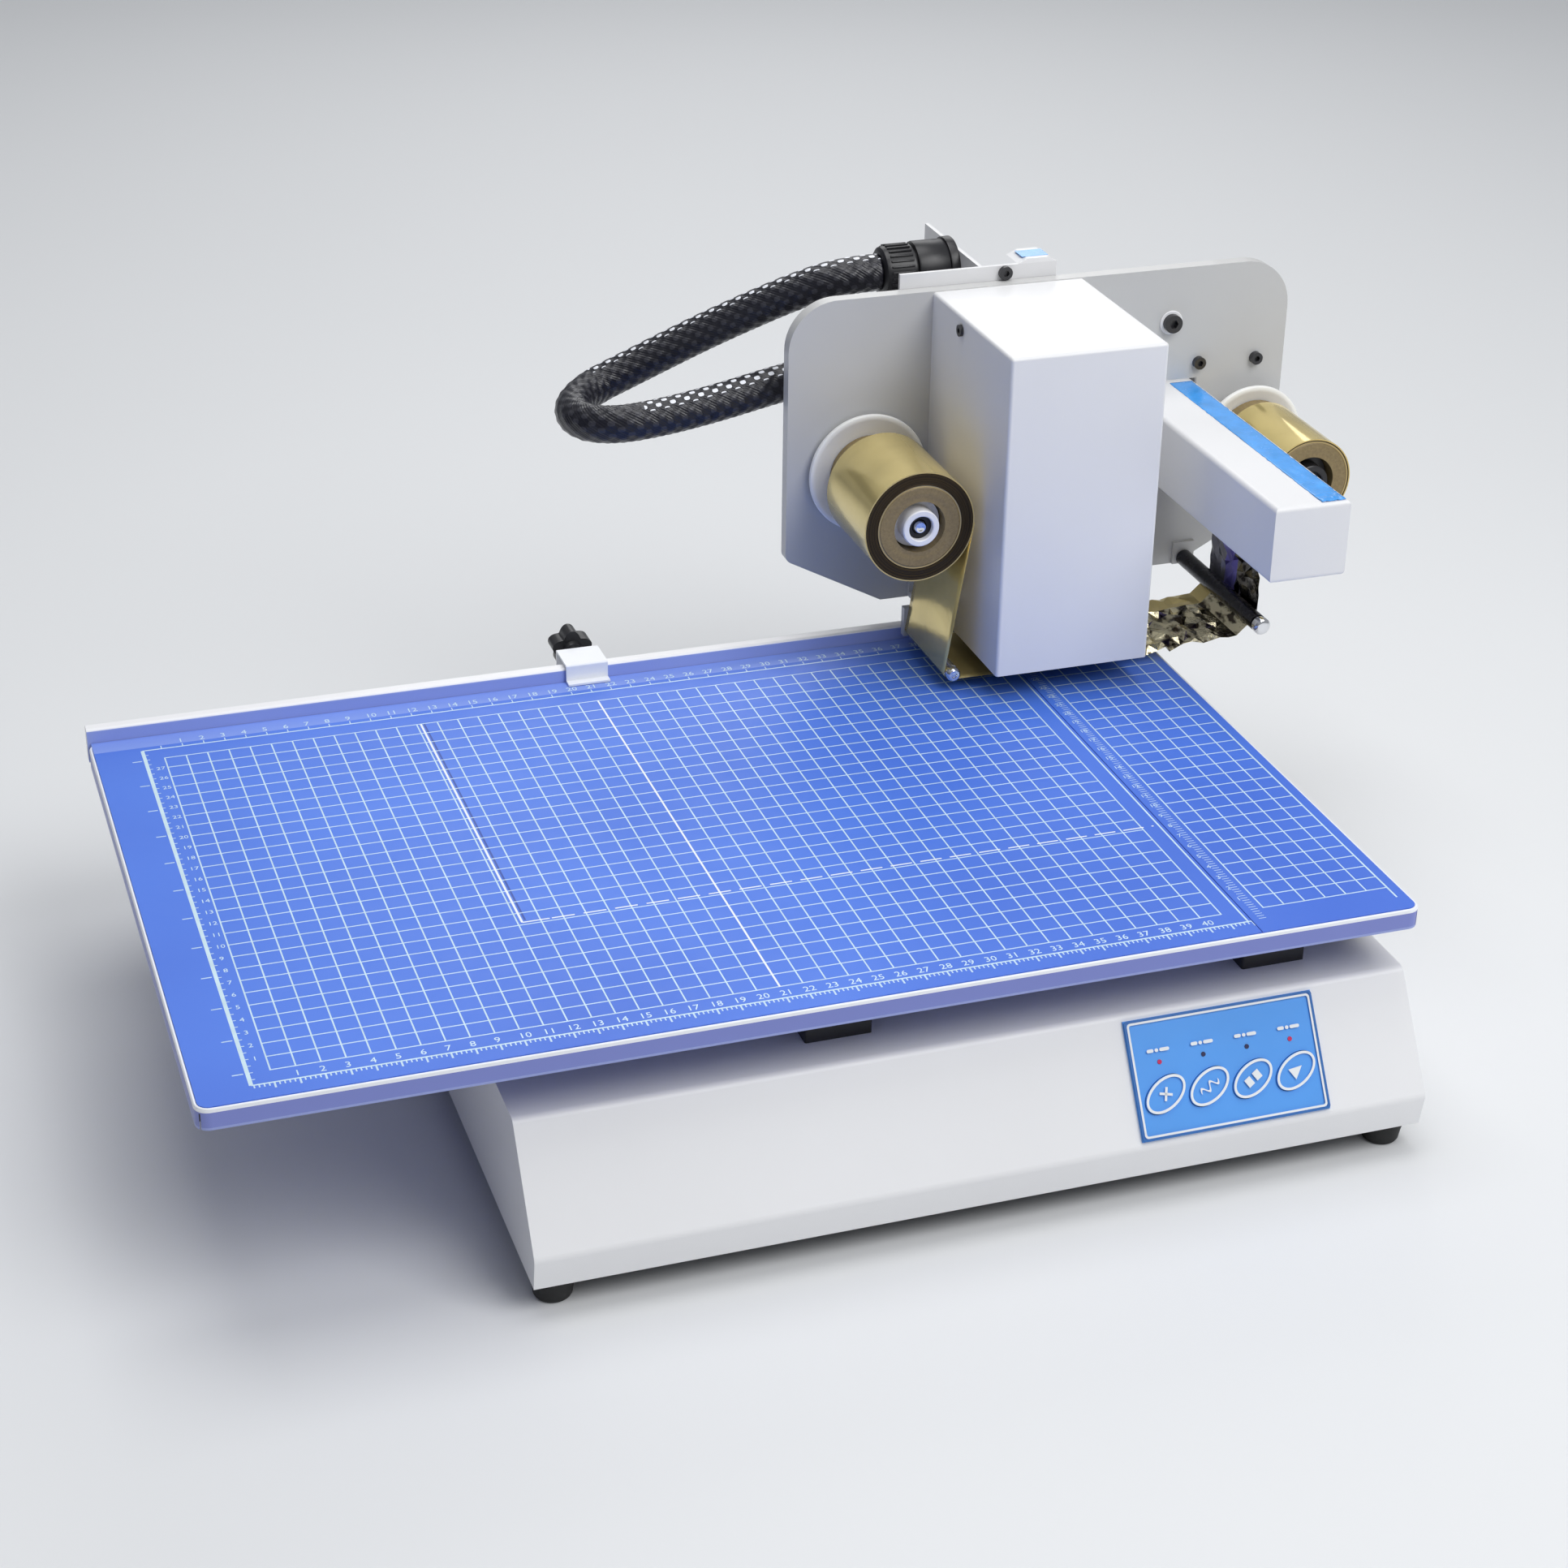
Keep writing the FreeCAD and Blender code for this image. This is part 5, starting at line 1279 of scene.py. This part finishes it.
class FOIL_OT_head(Maker, bpy.types.Operator):
    """Head plate, cover, guides, print unit, bracket and their screws"""

    bl_idname = "foil.head"
    bl_label = "Finish the head"

    def make(self):
        for node, name in (
                ("head_plate", "plate enamel"), ("head_cover", "white enamel"),
                ("rear_bracket", "column enamel"), ("hump_cover", "white enamel"),
                ("head_carriage", "aluminium"), ("head_frame", "aluminium"),
                ("press_motor", "black metal"), ("print_head", "black metal"), ("heat_sink", "aluminium"),
                ("guide_brackets", "plate enamel"), ("plate_screws", "screw black"),
                ("cover_screws", "screw black")):
            dress(node, name)
        self.guide_bar()
        self.guide_rod()
        self.washers()
        self.hump_film()

    def hump_film(self):
        """The corner of blue film left on top of the hump."""
        low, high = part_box("hump_cover")
        inset = 3.0 * MM
        sheet = rounded_box(Vector((low.x + inset, low.y + inset, high.z - 0.02 * MM)),
                            Vector((high.x - inset, high.y - inset, high.z + 0.14 * MM)), 0.03 * MM, 1)
        put("hump_film", solid(sheet, "hump_film"), "film", "head")

    def guide_bar(self):
        """Dark bar with a bright domed end and a sleeve along it."""
        at, long, r = span("right_guide_bar")
        cap = [(0, 0), (0.15, r * 0.55), (0.6, r * 0.86), (1.5, r), (4.5, r), (4.5, 0)]
        shaft = [(4.5, 0), (4.5, r - 0.6), (long, r - 0.6), (long, 0)]
        sleeve = [(6.0, r - 0.6), (6.0, r - 0.05), (long - 1, r - 0.05), (long - 1, r - 0.6)]
        meshes = [turned("bar_cap", cap, at, "Y", 48), turned("bar_shaft", shaft, at, "Y", 48),
                  turned("bar_sleeve", sleeve, at, "Y", 48)]
        finishes = ["chrome", "dark bar", "dark bar"]
        put("guide_bar", merged(meshes, "guide_bar"), finishes, "head", ["right_guide_bar"])

    def guide_rod(self):
        at, long, r = span("left_guide_rod")
        profile = [(0.9, 0), (0.9, 1.2), (0.0, 1.5), (0.0, r - 0.9), (0.5, r - 0.3), (0.9, r), (4.0, r),
                   (4.2, r - 0.7), (5.0, r - 0.7), (5.2, r), (long, r), (long, 0)]
        mesh = turned("guide_rod", profile, at, "Y", 48)
        put("guide_rod", mesh, "chrome", "head", ["left_guide_rod"])

    def washers(self):
        """The pale washer under the back plate's largest cap screw."""
        ring = [(0, 3.0), (0, 6.0), (-0.5, 6.2), (-0.8, 5.9), (-0.8, 3.0)]
        unit = turned("washer", ring, Vector(), "Y", 40)
        start = spot(523.8, 0, 149.8)
        start.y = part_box("head_plate")[0].y
        repeated("plate_washers", unit, 1, start, Vector(), Vector(), "hub plastic", "head")


# ---- beam ----

class FOIL_OT_beam(Maker, bpy.types.Operator):
    """Cross beam with its strip of protective film, its guide and the column"""

    bl_idname = "foil.beam"
    bl_label = "Finish the beam"

    def make(self):
        dress("beam_cover", "white enamel")
        dress("rear_column", "column enamel")
        dress("guide_rail", "steel rod")
        self.strip()

    def strip(self):
        """Blue film along the beam's top, lifted and crumpled at its front end."""
        low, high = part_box("beam_cover")
        head_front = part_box("head_plate")[0].y
        right = high.x - 2.2 * MM
        width, long = 12.5 * MM, head_front - low.y - 3.0 * MM
        columns, rows, tallest = 14, 150, 1.6 * MM
        bm = bmesh.new()
        grid = []
        for i in range(rows + 1):
            y = low.y + 1.6 * MM + long * i / rows
            front = max(0.0, 1 - i / (rows * 0.10))
            row = []
            for j in range(columns + 1):
                x = right - width * j / columns
                ragged = noise.noise(Vector((i * 0.35, 5.0, 0))) * 0.5 * MM if j in (0, columns) else 0
                lift = (0.16 + front * abs(noise.noise(Vector((x * 900, y * 700, 1)))) * 1.3) * MM
                ripple = max(0.0, noise.noise(Vector((x * 160, y * 60, 4)))) * 0.25 * MM
                z = min(high.z + lift + ripple, high.z + tallest)
                row.append(bm.verts.new(Vector((x + ragged, y, z))))
            grid.append(row)
        for one, two in zip(grid, grid[1:]):
            for j in range(columns):
                bm.faces.new((one[j], one[j + 1], two[j + 1], two[j])).smooth = True
        bmesh.ops.recalc_face_normals(bm, faces=bm.faces)
        thicken(put("beam_film", meshed(bm, "beam_film"), "film", "base"), 0.00008)


# ---- base ----

KEY_NODES = ("cancel_button", "test_button", "repeat_button", "start_button")


PANEL_THICK = 0.8
KEY_PROUD = 0.5
PRINT_SUNK = 0.02


class Slope:
    """The plane of the sloping front, with its origin at the panel's lower left corner."""

    def __init__(self):
        low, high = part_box("control_panel")
        deep, tall = high.y - low.y, high.z - low.z
        thick = PANEL_THICK * MM
        self.angle = math.atan2(tall, deep)
        for _ in range(20):
            run = math.hypot(deep - thick * math.sin(self.angle), tall - thick * math.cos(self.angle))
            self.angle = math.atan2(tall - thick * math.cos(self.angle), deep - thick * math.sin(self.angle))
        self.high = run / MM
        self.wide = (high.x - low.x) / MM
        self.across = Vector((1, 0, 0))
        self.up = Vector((0, math.cos(self.angle), math.sin(self.angle)))
        self.out = self.across.cross(self.up)
        self.origin = Vector((low.x, low.y, low.z + thick * math.cos(self.angle)))

    def local(self, point):
        """Across and up, in millimetres, of a point near the panel."""
        offset = point - self.origin
        return offset.dot(self.across) / MM, offset.dot(self.up) / MM


class FOIL_OT_base(Maker, bpy.types.Operator):
    """Housing, feet, sockets and what is inside"""

    bl_idname = "foil.base"
    bl_label = "Finish the base"

    def make(self):
        for node, name in (
                ("base_shell", "white enamel"), ("base_plate", "black metal"), ("key_board", "board"),
                ("power_inlet", "black plastic"), ("switch_housing", "black plastic"),
                ("power_rocker", "black plastic"), ("usb_socket", "aluminium"), ("power_supply", "aluminium"),
                ("controller_board", "board")):
            dress(node, name)
        self.feet()

    def feet(self):
        """Tapered rubber feet with a rounded tread and a recess in the middle."""
        low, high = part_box("rubber_feet")
        r = 10.0
        tall = (high.z - low.z) / MM
        profile = [(2.4, 0), (2.4, 3.4), (0.0, 4.2), (0.0, r - 3.4), (0.5, r - 2.3), (1.6, r - 1.7),
                   (5.0, r - 1.2), (tall - 3.0, r - 0.1), (tall - 1.0, r), (tall, r - 0.2), (tall, 0)]
        unit = turned("foot", profile, Vector(), "Z", 48)
        apart = Vector((high.x - low.x - 2 * r * MM, 0, 0))
        for row, y in (("front", low.y + r * MM), ("rear", high.y - r * MM)):
            start = Vector((low.x + r * MM, y, low.z))
            replaced = ["rubber_feet"] if row == "front" else ()
            repeated(f"feet_{row}", unit.copy(), 2, start, apart, Vector(), "rubber", "base",
                     replaced)


class FOIL_OT_panel(Maker, bpy.types.Operator):
    """Key panel: border lines, lamps, captions as plain marks, and the keys' rings and signs"""

    bl_idname = "foil.panel"
    bl_label = "Print the panel"

    def make(self):
        dress("control_panel", "panel blue")
        dress("status_lamps", "lamp", "dark lamp")
        low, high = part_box("status_lamps")
        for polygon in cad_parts["status_lamps"].data.polygons:
            share = (polygon.center.x - low.x) / (high.x - low.x)
            polygon.material_index = int(0.2 < share < 0.8)
        slope = Slope()
        self.border(slope)
        for i, node in enumerate(KEY_NODES):
            dress(node, "panel blue")
            self.key(slope, i, node)

    def border(self, slope):
        """Dark outer line, white inner line, and a row of three short bars above each key in place of words.
        """
        w, h = slope.wide, slope.high
        bottom, top = PANEL_THICK - PRINT_SUNK, PANEL_THICK + 0.06
        lines = []
        for inset, wide, material in ((0.05, 1.0, "panel line"), (1.25, 0.95, "panel white")):
            outer = rounded_rect(w - 2 * inset, h - 2 * inset, 1.6)
            inner = rounded_rect(w - 2 * (inset + wide), h - 2 * (inset + wide), 1.0)
            outer = [(u + inset, v + inset) for u, v in outer]
            inner = [(u + inset + wide, v + inset + wide) for u, v in inner]
            bm = band(outer, inner, bottom, top, slope.origin, slope.across, slope.up)
            lines.append((solid(bm, "panel_line"), material))
        marks = bmesh.new()
        for node in KEY_NODES:
            u, _ = slope.local(centre(node))
            for start, long in ((-5.4, 3.2), (-1.7, 1.7), (0.5, 4.6)):
                bar = rounded_rect(long, 1.5, 0.7, 3)
                bar = [(u + start + a, 37.0 + b) for a, b in bar]
                mark = slab(bar, bottom, top, slope.origin, slope.across, slope.up)
                marks.from_mesh(meshed(mark, "mark"))
        lines.append((solid(marks, "marks"), "panel white"))
        mesh = merged([one for one, _ in lines], "panel_lines")
        put("panel_lines", mesh, [material for _, material in lines], "base")

    def key(self, slope, i, node):
        u, v = slope.local(centre(node))
        face = PANEL_THICK + KEY_PROUD
        bottom, top = face - PRINT_SUNK, face + 0.07
        lean = math.radians(32.0)
        outer, inner = ellipse(10.55, 6.55, lean, u, v), ellipse(9.4, 5.4, lean, u, v)
        bm = band(outer, inner, bottom, top, slope.origin, slope.across, slope.up)
        meshes = [solid(bm, "ring")]
        for outline in self.sign(i):
            leaning = [turn_flat(a, b, lean, u, v) for a, b in outline]
            sign = slab(leaning, bottom, top, slope.origin, slope.across, slope.up)
            meshes.append(solid(sign, "sign"))
        name = node.replace("_button", "_key")
        finishes = ["panel white"] * len(meshes)
        put(name + "_print", merged(meshes, name + "_print"), finishes, name)

    def sign(self, i):
        """Plain signs: a cross, a wave, two sheets, a triangle."""
        if i == 0:
            arm, half = 3.0, 0.55
            bar = [(-arm, -half), (arm, -half), (arm, half), (-arm, half)]
            return [[turn_flat(a, b, math.radians(angle)) for a, b in bar] for angle in (45, -45)]
        if i == 1:
            xs = [-5.0 + 0.5 * k for k in range(21)]
            upper = [(x, 1.6 * math.sin(x * 1.25) + 0.55) for x in xs]
            lower = [(x, 1.6 * math.sin(x * 1.25) - 0.55) for x in reversed(xs)]
            return [lower[::-1] + upper[::-1]]
        if i == 2:
            sheet = [(-1.6, -2.0), (1.6, -2.0), (1.6, 2.0), (-1.6, 2.0)]
            return [[(x - 2.4, y) for x, y in sheet], [(x + 2.4, y) for x, y in sheet]]
        return [[(-2.6, -2.8), (3.4, 0.0), (-2.6, 2.8)]]


# ---- add-on ----

OPERATORS = (FOIL_OT_studio, FOIL_OT_hose, FOIL_OT_bed, FOIL_OT_clip, FOIL_OT_spools, FOIL_OT_web,
             FOIL_OT_head, FOIL_OT_beam, FOIL_OT_base, FOIL_OT_panel)
GROUPS = (BedSettings, CaseSettings, FoilSettings, HoseSettings, StudioSettings, PrinterSettings)


class FOIL_PT_panel(bpy.types.Panel):
    """Sidebar panel with every step and the sizes and colours it uses"""

    bl_idname = "FOIL_PT_panel"
    bl_label = "Foil printer"
    bl_space_type = "VIEW_3D"
    bl_region_type = "UI"
    bl_category = "Foil printer"

    def draw(self, context):
        layout = self.layout
        for operator in OPERATORS:
            layout.operator(operator.bl_idname)
        chosen = context.scene.foil_printer
        for group in ("bed", "case", "foil", "hose", "studio"):
            box = layout.box()
            values = getattr(chosen, group)
            for name in values.__annotations__:
                box.prop(values, name)


def register():
    for one in GROUPS + OPERATORS + (FOIL_PT_panel,):
        bpy.utils.register_class(one)
    bpy.types.Scene.foil_printer = PointerProperty(type=PrinterSettings)


def unregister():
    del bpy.types.Scene.foil_printer
    for one in reversed(GROUPS + OPERATORS + (FOIL_PT_panel,)):
        bpy.utils.unregister_class(one)


def main():
    register()
    bpy.ops.foil.studio()
    bpy.ops.foil.hose()
    bpy.ops.foil.bed()
    bpy.ops.foil.clip()
    bpy.ops.foil.spools()
    bpy.ops.foil.web()
    bpy.ops.foil.head()
    bpy.ops.foil.beam()
    bpy.ops.foil.base()
    bpy.ops.foil.panel()


if __name__ == "__main__":
    main()
